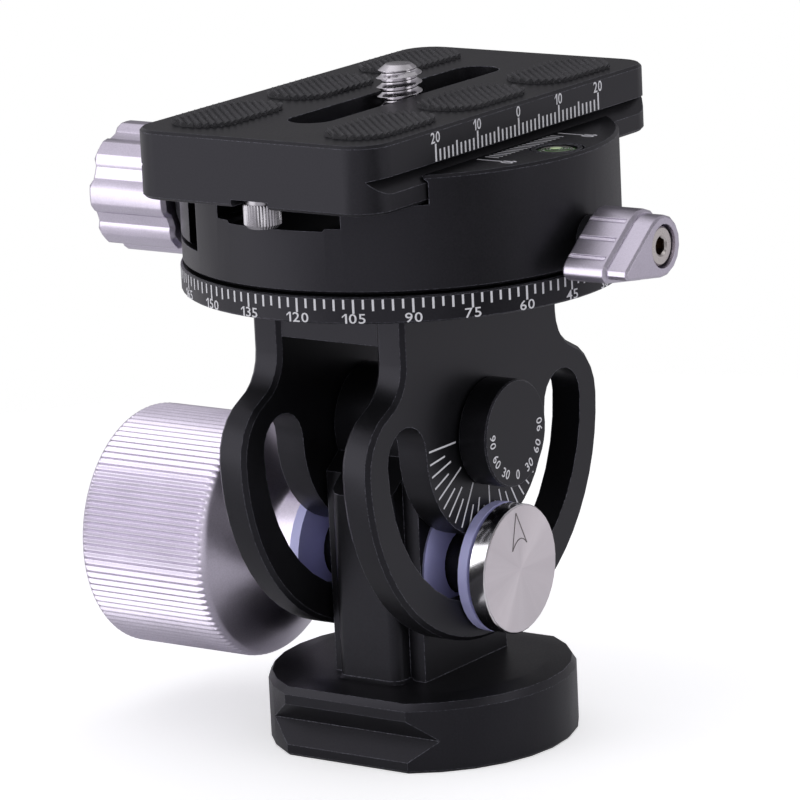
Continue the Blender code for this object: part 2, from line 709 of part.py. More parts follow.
def shoulder_profile(core):
    """The knob's shoulder from its neck to the grip: a hollow fillet, a cone and a round brow."""
    turns = [KNOB_LEAN * step / KNOB_ROUND_STEPS for step in range(KNOB_ROUND_STEPS + 1)]
    brow = [
        (core - KNOB_BROW * (1 - math.cos(turn)), KNOB_GRIP_LENGTH + KNOB_BROW * math.sin(turn))
        for turn in turns]
    foot_radius = KNOB_NECK_RADIUS + KNOB_NECK_FILLET * (1 - math.cos(KNOB_LEAN))
    cone_length = (brow[-1][0] - foot_radius) / math.tan(KNOB_LEAN)
    neck_end = brow[-1][1] + cone_length + KNOB_NECK_FILLET * math.sin(KNOB_LEAN)
    fillet = [
        (KNOB_NECK_RADIUS + KNOB_NECK_FILLET * (1 - math.cos(turn)),
         neck_end - KNOB_NECK_FILLET * math.sin(turn))
        for turn in turns]
    return fillet + brow[::-1]


def build_yoke(holder):
    """Two cheeks with arc slots, the block that joins them, and the graduated ring."""
    yoke = piece("yoke", cheek_mesh("yoke", CHEEK_INNER), at(z=PIVOT_HEIGHT, axis="X"), holder, "black")
    round_edges(yoke, CHEEK_EDGE)
    left = tool("cheek_left", cheek_mesh("cheek_left", -CHEEK_OUTER), at(z=PIVOT_HEIGHT, axis="X"), holder)
    round_edges(left, CHEEK_EDGE)
    block = box(
        "yoke_block",
        (-CHEEK_OUTER + CHEEK_EDGE, -NECK_HALF_WIDTH + CHEEK_EDGE, ARCH_TOP),
        (CHEEK_OUTER - CHEEK_EDGE, NECK_HALF_WIDTH - CHEEK_EDGE, RING_BOTTOM + RING_THICKNESS / 2))
    ring = rod("yoke_ring", RING_RADIUS, RING_THICKNESS, RIM)
    ring = tool("yoke_ring", ring, at(z=RING_BOTTOM), holder)
    round_edges(ring, EDGE / 2)
    join(yoke, left, tool("yoke_block", block, at(), holder), ring)
    slot = flat_shape("arc_slot", [arc_slot_outline()], 4 * CHEEK_OUTER, -2 * CHEEK_OUTER)
    across = 4 * CHEEK_OUTER
    pivot = rod("cheek_pivot_bore", PIVOT_RADIUS + GAP, across, SMALL_ROUND, start=-across / 2)
    axle = rod("yoke_axle_bore", AXLE_RADIUS + GAP, 2 * RING_RISE, SMALL_ROUND)
    head_depth = AXLE_HEAD_RECESS + AXLE_HEAD_THICKNESS + GAP
    head = rod("yoke_head_recess", AXLE_HEAD_RADIUS + GAP, OVERRUN + head_depth, SMALL_ROUND)
    cut(
        yoke,
        tool("arc_slot", slot, at(z=PIVOT_HEIGHT, axis="X"), holder),
        tool("cheek_pivot_bore", pivot, at(z=PIVOT_HEIGHT, axis="X"), holder),
        tool("yoke_axle_bore", axle, at(z=ARCH_TOP - OVERRUN), holder),
        tool("yoke_head_recess", head, at(z=ARCH_TOP - OVERRUN), holder))


def cheek_mesh(name, start):
    """One cheek: a disc about the pivot that narrows to the neck under the ring."""
    corner = (CHEEK_RADIUS - CHEEK_CORNER, -CHEEK_DROP)
    reach = CHEEK_CORNER + NECK_FILLET
    across = NECK_HALF_WIDTH + NECK_FILLET - corner[0]
    rise = math.sqrt(reach ** 2 - across ** 2)
    fillet = (NECK_HALF_WIDTH + NECK_FILLET, rise - CHEEK_DROP)
    lean = math.atan2(rise, across)
    right = arc(corner, CHEEK_CORNER, 0, lean, CORNER_STEPS)
    right += arc(fillet, NECK_FILLET, math.pi + lean, math.pi, CORNER_STEPS)[1:]
    right.append((NECK_HALF_WIDTH, RING_RISE + RING_THICKNESS / 2))
    bottom = arc((0.0, -CHEEK_DROP), CHEEK_RADIUS, -math.pi, 0, 3 * ARC)
    left = [(-y, z) for y, z in reversed(right)]
    return flat_shape(name, [bottom[:-1] + right + left[:-1]], CHEEK_THICKNESS, start)


def arc_slot_outline():
    """The slot about the pivot that the lock bolt's sleeve runs in, with round ends."""
    start = -math.pi / 2 - SLOT_HALF_ANGLE
    end = -math.pi / 2 + SLOT_HALF_ANGLE
    outer = arc((0.0, 0.0), SLOT_RADIUS + SLOT_HALF_WIDTH, start, end, 2 * ARC)
    inner = arc((0.0, 0.0), SLOT_RADIUS - SLOT_HALF_WIDTH, end, start, 2 * ARC)
    right_end = (SLOT_RADIUS * math.cos(end), SLOT_RADIUS * math.sin(end))
    left_end = (SLOT_RADIUS * math.cos(start), SLOT_RADIUS * math.sin(start))
    cap = arc(right_end, SLOT_HALF_WIDTH, end, end + math.pi)
    other = arc(left_end, SLOT_HALF_WIDTH, start + math.pi, start + math.tau)
    return outer + cap[1:-1] + inner + other[1:-1]


def build_pivot(holder):
    """The tilt axis: its pin, the graduated boss on the right and the head on the left."""
    head_start = CHEEK_OUTER + GAP
    right_end = head_start + PIVOT_SEAT_DEPTH
    mesh = rod("pivot_pin", PIVOT_RADIUS, CHEEK_OUTER + right_end, SMALL_ROUND)
    piece("pivot_pin", mesh, at(-CHEEK_OUTER, 0, PIVOT_HEIGHT, "X"), holder, "steel")
    mesh = rod("pivot_boss", BOSS_RADIUS, BOSS_THICKNESS, ROUND)
    boss = piece("pivot_boss", mesh, at(head_start, 0, PIVOT_HEIGHT, "X"), holder, "black")
    round_edges(boss, EDGE / 2)
    seat = rod("boss_seat", PIVOT_RADIUS + GAP, OVERRUN + PIVOT_SEAT_DEPTH + GAP, SMALL_ROUND)
    cut(boss, tool("boss_seat", seat, at(head_start - OVERRUN, 0, PIVOT_HEIGHT, "X"), holder))
    mesh = rod("pivot_head", PIVOT_HEAD_RADIUS, PIVOT_HEAD_THICKNESS, SMALL_ROUND)
    head = piece("pivot_head", mesh, at(-head_start - PIVOT_HEAD_THICKNESS, 0, PIVOT_HEIGHT, "X"),
                 holder, "dark_steel")
    round_edges(head, EDGE / 2)


def build_pan_axle(holder):
    """The shouldered axle, its nut in the drum's pocket, and the thrust washer."""
    head_bottom = ARCH_TOP + AXLE_HEAD_RECESS
    head_top = head_bottom + AXLE_HEAD_THICKNESS
    nut_bottom = NUT_POCKET_FLOOR + GAP
    axle_top = nut_bottom + AXLE_NUT_THICKNESS
    profile = [
        (0.0, axle_top),
        (AXLE_RADIUS, axle_top),
        (AXLE_RADIUS, head_top),
        (AXLE_HEAD_RADIUS, head_top),
        (AXLE_HEAD_RADIUS, head_bottom),
        (0.0, head_bottom),
    ]
    axle = piece("pan_axle", profile_mesh("pan_axle", profile), at(), holder, "steel")
    turn(axle, SMALL_ROUND)
    nut = piece("pan_axle_nut", rod("pan_axle_nut", AXLE_NUT_RADIUS, AXLE_NUT_THICKNESS, 6),
                at(z=nut_bottom), holder, "steel")
    thread = rod("nut_thread", AXLE_RADIUS + GAP, AXLE_NUT_THICKNESS + 2 * OVERRUN, SMALL_ROUND)
    cut(nut, tool("nut_thread", thread, at(z=nut_bottom - OVERRUN), holder))
    washer = piece("pan_washer", rod("pan_washer", PAN_WASHER_RADIUS, PAN_WASHER_THICKNESS, ROUND),
                   at(z=RING_TOP + GAP), holder, "lavender")
    hole = rod("washer_hole", AXLE_RADIUS + GAP, PAN_WASHER_THICKNESS + 2 * OVERRUN, SMALL_ROUND)
    cut(washer, tool("washer_hole", hole, at(z=RING_TOP + GAP - OVERRUN), holder))


def jaw_outline(gap, wall, low, wall_low, reach, top=0.0):
    """A jaw's section in X and Z, a gap clear of the plate: its wall, step and lip."""
    slope = PLATE_GROOVE_DEPTH / (PLATE_GROOVE_APEX - PLATE_LIP_HEIGHT)
    clear = gap * math.sqrt(1 + slope ** 2)
    lip_base = PLATE_BOTTOM + PLATE_LIP_HEIGHT
    face = PLATE_HALF_WIDTH + gap
    knee = lip_base + (clear - gap) / slope
    lip_x = PLATE_HALF_WIDTH + clear - slope * (JAW_TOP - lip_base)
    return [
        (reach, low),
        (wall, low),
        (wall, wall_low),
        (face, wall_low),
        (face, knee),
        (lip_x, JAW_TOP),
        (lip_x, JAW_TOP + top),
        (reach, JAW_TOP + top),
    ]


def build_drum(holder):
    """The turned drum, cut down to the clamp's bed beside the fixed jaw."""
    height = JAW_TOP - DRUM_BOTTOM
    drum = piece("drum", rod("drum", DRUM_RADIUS, height, RIM), at(z=DRUM_BOTTOM), holder, "black")
    round_edges(drum, EDGE)
    outline = jaw_outline(GAP, 0.0, DRUM_FLOOR, DRUM_FLOOR, DRUM_RADIUS + OVERRUN, OVERRUN)
    face, knee, lip = outline[3], outline[4], outline[5]
    bed = [
        (-DRUM_RADIUS - OVERRUN, DRUM_FLOOR),
        face,
        knee,
        lip,
        (lip[0], JAW_TOP + OVERRUN),
        (-DRUM_RADIUS - OVERRUN, JAW_TOP + OVERRUN),
    ]
    bed_cut = flat_shape("bed", [bed], 4 * DRUM_RADIUS, -2 * DRUM_RADIUS)
    cut(drum, tool("bed", bed_cut, at(axis="Y"), holder))
    pocket = box(
        "jaw_pocket",
        (-DRUM_RADIUS - OVERRUN, -DRUM_RADIUS, DRUM_FLOOR - JAW_POCKET_DEPTH),
        (-JAW_POCKET_WALL, DRUM_RADIUS, DRUM_FLOOR + OVERRUN))
    cut(drum, tool("jaw_pocket", pocket, at(), holder))
    hub_run = DRUM_RADIUS - JAW_POCKET_WALL + OVERRUN
    hub_channel = rod("hub_channel", JAW_HUB_RADIUS + GAP, hub_run, SMALL_ROUND)
    cut(drum, tool("hub_channel", hub_channel, at(-DRUM_RADIUS - OVERRUN, 0, CLAMP_HEIGHT, "X"), holder))
    for side in (-1, 1):
        cut(drum, *stop_recess(side, holder))
    nut_pocket = rod("nut_pocket", NUT_POCKET_RADIUS, DRUM_HEIGHT, SMALL_ROUND)
    axle = rod("drum_axle_bore", AXLE_RADIUS + GAP, DRUM_HEIGHT, SMALL_ROUND)
    washer_depth = PAN_WASHER_THICKNESS + GAP
    washer = rod("drum_washer_recess", PAN_WASHER_RADIUS + GAP, OVERRUN + washer_depth, ROUND)
    lock = rod("pan_lock_bore", PAN_SCREW_RADIUS + GAP, DRUM_RADIUS + OVERRUN, TINY_ROUND)
    thread_start = JAW_POCKET_WALL + OVERRUN
    thread = rod("clamp_thread", CLAMP_SCREW_RADIUS + GAP, thread_start - CLAMP_THREAD_END, TINY_ROUND)
    bubble = rod("bubble_pocket", BUBBLE_RADIUS + GAP, BUBBLE_DEPTH + GAP + OVERRUN, SMALL_ROUND)
    cut(
        drum,
        tool("nut_pocket", nut_pocket, at(z=NUT_POCKET_FLOOR), holder),
        tool("drum_axle_bore", axle, at(z=DRUM_BOTTOM - OVERRUN), holder),
        tool("drum_washer_recess", washer, at(z=DRUM_BOTTOM - OVERRUN), holder),
        tool("pan_lock_bore", lock, at(0, 0, PAN_LOCK_HEIGHT, "X"), holder),
        tool("clamp_thread", thread, at(-thread_start, 0, CLAMP_HEIGHT, "X"), holder),
        tool("bubble_pocket", bubble, at(BUBBLE_X, 0, JAW_TOP - BUBBLE_DEPTH - GAP), holder))
    for side in (-1, 1):
        seat = rod("guide_seat", GUIDE_PIN_RADIUS + GAP, GUIDE_PIN_GRIP + GAP + OVERRUN, TINY_ROUND)
        place = at(-JAW_POCKET_WALL - OVERRUN, side * GUIDE_PIN_SPACING / 2, GUIDE_HEIGHT, "X")
        cut(drum, tool("guide_seat", seat, place, holder))


def stop_recess(side, holder):
    """The recess that a safety stop runs in, and the chamfered channel along its floor."""
    start = side * STOP_RECESS_START
    end = side * (DRUM_RADIUS + OVERRUN)
    recess = box(
        "stop_recess",
        (-STOP_RECESS_HALF_WIDTH, min(start, end), DRUM_FLOOR - STOP_RECESS_DEPTH),
        (STOP_RECESS_HALF_WIDTH, max(start, end), DRUM_FLOOR + OVERRUN))
    drop = STOP_CHANNEL_DEPTH - STOP_RECESS_DEPTH
    rise = drop + STOP_RECESS_DEPTH / 2
    outline = [
        (STOP_CHANNEL_HALF_WIDTH, DRUM_FLOOR - STOP_CHANNEL_DEPTH),
        (STOP_CHANNEL_HALF_WIDTH + rise, DRUM_FLOOR - STOP_CHANNEL_DEPTH + rise),
        (-STOP_CHANNEL_HALF_WIDTH - rise, DRUM_FLOOR - STOP_CHANNEL_DEPTH + rise),
        (-STOP_CHANNEL_HALF_WIDTH, DRUM_FLOOR - STOP_CHANNEL_DEPTH),
    ]
    run = DRUM_RADIUS + OVERRUN - STOP_RECESS_START - EDGE
    first = STOP_RECESS_START + EDGE if side < 0 else -DRUM_RADIUS - OVERRUN
    channel = flat_shape("stop_channel", [outline], run, first)
    return tool("stop_recess", recess, at(), holder), tool("stop_channel", channel, at(axis="Y"), holder)


def build_bubble(holder):
    """The round level in the fixed jaw: a cup and the vial in it."""
    bottom = JAW_TOP - BUBBLE_DEPTH
    inner = BUBBLE_RADIUS - BUBBLE_WALL
    floor = bottom + BUBBLE_FLOOR
    profile = [
        (0.0, floor),
        (inner, floor),
        (inner, JAW_TOP),
        (BUBBLE_RADIUS, JAW_TOP),
        (BUBBLE_RADIUS, bottom),
        (0.0, bottom),
    ]
    cup = piece("bubble_ring", profile_mesh("bubble_ring", profile), at(BUBBLE_X), holder, "dark_steel")
    turn(cup, SMALL_ROUND)
    vial_bottom = floor + GAP
    vial = rod("bubble_vial", inner - GAP, JAW_TOP - vial_bottom, SMALL_ROUND)
    vial = piece("bubble_vial", vial, at(BUBBLE_X, 0, vial_bottom), holder, "green")
    round_edges(vial, EDGE / 2)


def build_pan_lock(holder):
    """The lock screw with its shoe and collar, and the two-step wing lever on it."""
    shoe_start = AXLE_RADIUS + GAP
    screw_start = shoe_start + PAN_SHOE_LENGTH + GAP
    screw_end = WING_START + WING_SOCKET_DEPTH
    height = PAN_LOCK_HEIGHT
    shoe = rod("pan_lock_shoe", PAN_SCREW_RADIUS, PAN_SHOE_LENGTH, TINY_ROUND)
    piece("pan_lock_shoe", shoe, at(shoe_start, 0, height, "X"), holder, "brass")
    screw = rod("pan_lock_screw", PAN_SCREW_RADIUS, screw_end - screw_start, TINY_ROUND)
    piece("pan_lock_screw", screw, at(screw_start, 0, height, "X"), holder, "steel")
    collar = rod("pan_lock_collar", PAN_COLLAR_RADIUS, PAN_COLLAR_THICKNESS, SMALL_ROUND)
    collar = piece("pan_lock_collar", collar, at(COLLAR_START, 0, height, "X"), holder, "steel")
    hole = rod("collar_hole", PAN_SCREW_RADIUS + GAP, PAN_COLLAR_THICKNESS + 2 * OVERRUN, TINY_ROUND)
    cut(collar, tool("collar_hole", hole, at(COLLAR_START - OVERRUN, 0, height, "X"), holder))
    build_wing(holder)
    head_start = WING_END - WING_RECESS_DEPTH + GAP
    shank = screw_end + 2 * GAP
    profile = [
        (0.0, head_start + WING_SCREW_HEAD_THICKNESS),
        (WING_SCREW_HEAD_RADIUS, head_start + WING_SCREW_HEAD_THICKNESS),
        (WING_SCREW_HEAD_RADIUS, head_start),
        (WING_SCREW_RADIUS, head_start),
        (WING_SCREW_RADIUS, shank),
        (0.0, shank),
    ]
    screw = piece("wing_screw", profile_mesh("wing_screw", profile), at(z=height, axis="X"),
                  holder, "polished")
    turn(screw, TINY_ROUND)


def teardrop(radius, tip_radius):
    """The wing's outline in Y and Z: a hub and a small round tip joined by tangents."""
    reach = math.hypot(WING_REACH, WING_DROP)
    heading = math.atan2(-WING_DROP, -WING_REACH)
    spread = math.acos((radius - tip_radius) / reach)
    tip = (-WING_REACH, -WING_DROP)
    hub = arc((0.0, 0.0), radius, heading + spread, heading + math.tau - spread, ARC)
    point = arc(tip, tip_radius, heading - spread, heading + spread, ARC // 3)
    return hub + point


def build_wing(holder):
    """The wing: a fluted inner step and a smaller outer step, with the screw's recess."""
    height = PAN_LOCK_HEIGHT
    inner = flat_shape("pan_lock_wing", [teardrop(WING_HUB_RADIUS, WING_TIP_RADIUS)], WING_HUB_LENGTH)
    wing = piece("pan_lock_wing", inner, at(WING_START, 0, height, "X"), holder, "silver")
    round_edges(wing, EDGE)
    outline = teardrop(WING_HUB_RADIUS - WING_STEP, WING_TIP_RADIUS - WING_STEP)
    outer = flat_shape("wing_step", [outline], WING_STEP_LENGTH + OVERRUN)
    outer = tool("wing_step", outer, at(WING_STEP_START - OVERRUN, 0, height, "X"), holder)
    round_edges(outer, EDGE)
    join(wing, outer)
    for flute in wing_flutes(holder):
        cut(wing, flute)
    socket = rod("wing_socket", PAN_SCREW_RADIUS + GAP, WING_SOCKET_DEPTH + GAP + OVERRUN, TINY_ROUND)
    recess = rod("wing_recess", WING_RECESS_RADIUS, WING_RECESS_DEPTH + OVERRUN, SMALL_ROUND)
    through = rod("wing_through", WING_SCREW_RADIUS + GAP, WING_END - WING_START, TINY_ROUND)
    cut(
        wing,
        tool("wing_socket", socket, at(WING_START - OVERRUN, 0, height, "X"), holder),
        tool("wing_recess", recess, at(WING_END - WING_RECESS_DEPTH, 0, height, "X"), holder),
        tool("wing_through", through, at(WING_START, 0, height, "X"), holder))


def wing_flutes(holder):
    """Grooves across the wing's upper flank, for the finger."""
    reach = math.hypot(WING_REACH, WING_DROP)
    heading = math.atan2(-WING_DROP, -WING_REACH)
    spread = math.acos((WING_HUB_RADIUS - WING_TIP_RADIUS) / reach)
    normal = Vector((math.cos(heading - spread), math.sin(heading - spread)))
    along = Vector((math.cos(heading), math.sin(heading)))
    flank = along - along.dot(normal) * normal
    flank.normalize()
    flutes = []
    for index in range(WING_FLUTES):
        offset = WING_FLUTE_START + index * WING_FLUTE_PITCH
        spot = normal * WING_HUB_RADIUS + flank * offset
        run = OVERRUN + WING_HUB_LENGTH - WING_FLUTE_STOP
        mesh = rod("wing_flute", WING_FLUTE_RADIUS, run, 8)
        place = at(WING_START - OVERRUN, spot.x, PAN_LOCK_HEIGHT + spot.y, "X")
        flutes.append(tool("wing_flute", mesh, place, holder))
    return flutes


def build_movable_jaw(holder):
    """The sliding jaw: a slice of the drum's round with its lip, and the boss for the screw."""
    low = DRUM_FLOOR - JAW_POCKET_DEPTH + JAW_FOOT_GAP
    height = JAW_TOP - low
    jaw = piece("movable_jaw", rod("movable_jaw", DRUM_RADIUS, height, RIM), at(z=low), holder, "black")
    round_edges(jaw, EDGE)
    wall = JAW_POCKET_WALL + JAW_TRAVEL
    section = jaw_outline(JAW_PLAY, wall, low - OVERRUN, DRUM_FLOOR, DRUM_RADIUS + OVERRUN, OVERRUN)
    mirrored = [(-x, z) for x, z in reversed(section)]
    keep = flat_shape("jaw_section", [mirrored], 4 * DRUM_RADIUS, -2 * DRUM_RADIUS)
    keep_inside(jaw, tool("jaw_section", keep, at(axis="Y"), holder))
    boss = rod("jaw_boss", JAW_BOSS_RADIUS, JAW_BOSS_END - wall - OVERRUN, SMALL_ROUND)
    boss = tool("jaw_boss", boss, at(-JAW_BOSS_END, 0, CLAMP_HEIGHT, "X"), holder)
    round_edges(boss, EDGE)
    behind = box(
        "ring_clearance",
        (-JAW_BOSS_START, -DRUM_RADIUS, low - DRUM_RADIUS),
        (0.0, DRUM_RADIUS, low))
    above = box(
        "plate_clearance",
        (-JAW_BOSS_START, -DRUM_RADIUS, DRUM_FLOOR),
        (0.0, DRUM_RADIUS, PLATE_TOP))
    cut(
        boss,
        tool("ring_clearance", behind, at(), holder),
        tool("plate_clearance", above, at(), holder))
    hub = rod("jaw_hub", JAW_HUB_RADIUS, JAW_BOSS_START - wall, SMALL_ROUND)
    join(jaw, boss, tool("jaw_hub", hub, at(-JAW_BOSS_START, 0, CLAMP_HEIGHT, "X"), holder))
    bore = rod("jaw_bore", CLAMP_SCREW_RADIUS + GAP, JAW_BOSS_END, TINY_ROUND)
    seat_depth = CLAMP_WASHER_THICKNESS + GAP
    seat = rod("clamp_washer_seat", CLAMP_WASHER_RADIUS + GAP, seat_depth + OVERRUN, SMALL_ROUND)
    cut(
        jaw,
        tool("jaw_bore", bore, at(-JAW_BOSS_END - OVERRUN, 0, CLAMP_HEIGHT, "X"), holder),
        tool("clamp_washer_seat", seat, at(-JAW_BOSS_END - OVERRUN, 0, CLAMP_HEIGHT, "X"), holder))
    for side in (-1, 1):
        depth = GUIDE_PIN_REACH + JAW_TRAVEL
        slot = rod("guide_bore", GUIDE_PIN_RADIUS + GAP, depth, TINY_ROUND)
        place = at(-wall - GUIDE_PIN_REACH, side * GUIDE_PIN_SPACING / 2, GUIDE_HEIGHT, "X")
        cut(jaw, tool("guide_bore", slot, place, holder))


def build_guide_pins(holder):
    """Two pins fixed in the drum, on which the jaw slides."""
    length = GUIDE_PIN_GRIP + JAW_TRAVEL + GUIDE_PIN_REACH - GAP
    start = -JAW_POCKET_WALL - JAW_TRAVEL - GUIDE_PIN_REACH + GAP
    for name, side in (("guide_pin_front", -1), ("guide_pin_back", 1)):
        mesh = rod(name, GUIDE_PIN_RADIUS, length, TINY_ROUND)
        piece(name, mesh, at(start, side * GUIDE_PIN_SPACING / 2, GUIDE_HEIGHT, "X"), holder, "steel")


def build_clamp_knob(holder):
    """The eight-lobed knob, its screw and the washer under it."""
    place = at(-CLAMP_KNOB_END, 0, CLAMP_HEIGHT, "X")
    knob = piece("clamp_knob", flat_shape("clamp_knob", [lobed_outline()], CLAMP_KNOB_LENGTH),
                 place, holder, "silver")
    round_edges(knob, CLAMP_KNOB_EDGE)
    socket = rod("knob_socket", CLAMP_SCREW_RADIUS + GAP, CLAMP_SOCKET_DEPTH + OVERRUN, TINY_ROUND)
    start = -CLAMP_KNOB_START - CLAMP_SOCKET_DEPTH
    cut(knob, tool("knob_socket", socket, at(start, 0, CLAMP_HEIGHT, "X"), holder))
    screw_start = start + GAP
    screw_end = -CLAMP_THREAD_END - GAP
    screw = rod("clamp_screw", CLAMP_SCREW_RADIUS, screw_end - screw_start, TINY_ROUND)
    piece("clamp_screw", screw, at(screw_start, 0, CLAMP_HEIGHT, "X"), holder, "steel")


def build_clamp_washer(holder):
    """The washer in the jaw's boss that the knob presses on."""
    start = -JAW_BOSS_END
    disc = rod("clamp_washer", CLAMP_WASHER_RADIUS, CLAMP_WASHER_THICKNESS, SMALL_ROUND)
    washer = piece("clamp_washer", disc, at(start, 0, CLAMP_HEIGHT, "X"), holder, "lavender")
    depth = CLAMP_WASHER_THICKNESS + 2 * OVERRUN
    hole = rod("clamp_washer_hole", CLAMP_SCREW_RADIUS + GAP, depth, TINY_ROUND)
    cut(washer, tool("clamp_washer_hole", hole, at(start - OVERRUN, 0, CLAMP_HEIGHT, "X"), holder))


def lobed_outline():
    """Round lobes with a hollow between each pair, as in a finger knob."""
    points = []
    steps = LOBE_STEPS * CLAMP_KNOB_LOBES
    for step in range(steps):
        angle = math.tau * step / steps
        wave = math.cos(CLAMP_KNOB_LOBES * angle)
        depth = CLAMP_KNOB_FLUTE_DEPTH * max(0.0, 1 - (wave + 1) ** 2)
        reach = CLAMP_KNOB_RADIUS - depth
        points.append((reach * math.cos(angle), reach * math.sin(angle)))
    return points


def build_plate(holder):
    """The plate: grooved sides, the screw's slot over its pocket, and the pads' seats."""
    outline = rounded_rectangle(PLATE_HALF_WIDTH, PLATE_HALF_LENGTH, PLATE_CORNER)
    mesh = flat_shape("plate", [outline], PLATE_THICKNESS)
    plate = piece("plate", mesh, at(z=PLATE_BOTTOM), holder, "black")
    round_edges(plate, EDGE)
    run = PLATE_HALF_LENGTH + OVERRUN
    for side in (-1, 1):
        mouth = side * PLATE_HALF_WIDTH
        outside = side * (PLATE_HALF_WIDTH + OVERRUN)
        apex = side * (PLATE_HALF_WIDTH - PLATE_GROOVE_DEPTH)
        low = PLATE_BOTTOM + PLATE_LIP_HEIGHT
        high = PLATE_BOTTOM + PLATE_GROOVE_TOP
        groove = [
            (mouth, low),
            (apex, PLATE_BOTTOM + PLATE_GROOVE_APEX),
            (mouth, high),
            (outside, high),
            (outside, low),
        ]
        cut(plate, tool("side_groove", flat_shape("side_groove", [groove], 2 * run, -run),
                        at(axis="Y"), holder))
    slot = rounded_rectangle(PLATE_SLOT_HALF_WIDTH, PLATE_SLOT_HALF_LENGTH, PLATE_SLOT_HALF_WIDTH, 8)
    slot = flat_shape("screw_slot", [slot], PLATE_THICKNESS)
    pocket = rounded_rectangle(
        PLATE_POCKET_HALF_WIDTH, PLATE_POCKET_HALF_LENGTH, PLATE_POCKET_HALF_WIDTH, 8)
    pocket = flat_shape("screw_pocket", [pocket], PLATE_POCKET_DEPTH + OVERRUN)
    channel = box(
        "plate_channel",
        (-PLATE_CHANNEL_HALF_WIDTH, -run, PLATE_BOTTOM - OVERRUN),
        (PLATE_CHANNEL_HALF_WIDTH, run, PLATE_BOTTOM + PLATE_CHANNEL_DEPTH))
    cut(
        plate,
        tool("screw_slot", slot, at(z=PLATE_BOTTOM + OVERRUN), holder),
        tool("screw_pocket", pocket, at(z=PLATE_BOTTOM - OVERRUN), holder),
        tool("plate_channel", channel, at(), holder))
    for side in (-1, 1):
        depth = STOP_SHANK_LENGTH + GAP + OVERRUN
        hole = rod("stop_thread", STOP_SHANK_RADIUS + GAP, depth, TINY_ROUND)
        place = at(0, side * (PLATE_HALF_LENGTH - STOP_INSET), PLATE_BOTTOM - OVERRUN + PLATE_CHANNEL_DEPTH)
        cut(plate, tool("stop_thread", hole, place, holder))
    for name, place in pad_places():
        seat = flat_shape(name + "_seat", [pad_outline(GAP)], PAD_THICKNESS + OVERRUN)
        seat = tool(name + "_seat", seat, at(z=PLATE_TOP + PAD_PROUD - PAD_THICKNESS - GAP) @ place, holder)
        cut(plate, seat)


def pad_size():
    """Half the width and half the length of a pad, between the lands left round it."""
    half_width = (PLATE_HALF_WIDTH - PLATE_SLOT_HALF_WIDTH - PAD_INNER_LAND - PAD_OUTER_LAND) / 2
    half_length = (PLATE_HALF_LENGTH - PAD_END_LAND - PAD_GAP) / 3
    return half_width, half_length


def pad_outline(margin=0.0):
    """A pad's oblong with round corners, its length along Y, with an even margin round it."""
    half_width, half_length = pad_size()
    return rounded_rectangle(half_width + margin, half_length + margin, PAD_CORNER + margin, CORNER_STEPS)


def pad_places():
    """The six pads' names and places: two rows of three."""
    half_width, half_length = pad_size()
    row_x = PLATE_HALF_WIDTH - PAD_OUTER_LAND - half_width
    pitch = 2 * half_length + PAD_GAP
    places = []
    for row, side in (("left", -1), ("right", 1)):
        for column, step in (("front", -1), ("middle", 0), ("back", 1)):
            place = Matrix.Translation((side * row_x, step * pitch, 0.0))
            places.append(("pad_" + row + "_" + column, place))
    return places


def build_pads(holder):
    """The rubber pads in their seats."""
    bottom = PLATE_TOP + PAD_PROUD - PAD_THICKNESS
    for name, place in pad_places():
        mesh = flat_shape(name, [pad_outline()], PAD_THICKNESS)
        piece(name, mesh, at(z=bottom) @ place, holder, "rubber")


def build_camera_screw(washer_holder, screw_holder):
    """The camera screw with its slotted head, and the washer between head and plate."""
    ledge = PLATE_BOTTOM + PLATE_POCKET_DEPTH
    washer_top = ledge - GAP
    washer_bottom = washer_top - SCREW_WASHER_THICKNESS
    head_top = washer_bottom - GAP
    head_bottom = head_top - SCREW_HEAD_THICKNESS
    top = PLATE_TOP + THREAD_PROUD
    profile = [
        (0.0, top),
        (THREAD_RADIUS - THREAD_CHAMFER, top),
        (THREAD_RADIUS, top - THREAD_CHAMFER),
        (THREAD_RADIUS, head_top),
        (SCREW_HEAD_RADIUS, head_top),
        (SCREW_HEAD_RADIUS, head_bottom),
        (0.0, head_bottom),
    ]
    screw = piece("camera_screw", profile_mesh("camera_screw", profile), at(0, SCREW_SHIFT),
                  screw_holder, "steel")
    turn(screw, SMALL_ROUND)
    slot = box(
        "screw_head_slot",
        (-PLATE_HALF_WIDTH, -SCREW_SLOT_WIDTH / 2, head_bottom - OVERRUN),
        (PLATE_HALF_WIDTH, SCREW_SLOT_WIDTH / 2, head_bottom + SCREW_SLOT_WIDTH))
    cut(screw, tool("screw_head_slot", slot, at(0, SCREW_SHIFT), screw_holder))
    disc = rod("screw_washer", SCREW_HEAD_RADIUS, SCREW_WASHER_THICKNESS, SMALL_ROUND)
    washer = piece("screw_washer", disc, at(0, SCREW_SHIFT, washer_bottom), washer_holder, "lavender")
    depth = SCREW_WASHER_THICKNESS + 2 * OVERRUN
    hole = rod("screw_washer_hole", THREAD_RADIUS + GAP, depth, SMALL_ROUND)
    cut(washer, tool("screw_washer_hole", hole, at(0, SCREW_SHIFT, washer_bottom - OVERRUN), washer_holder))


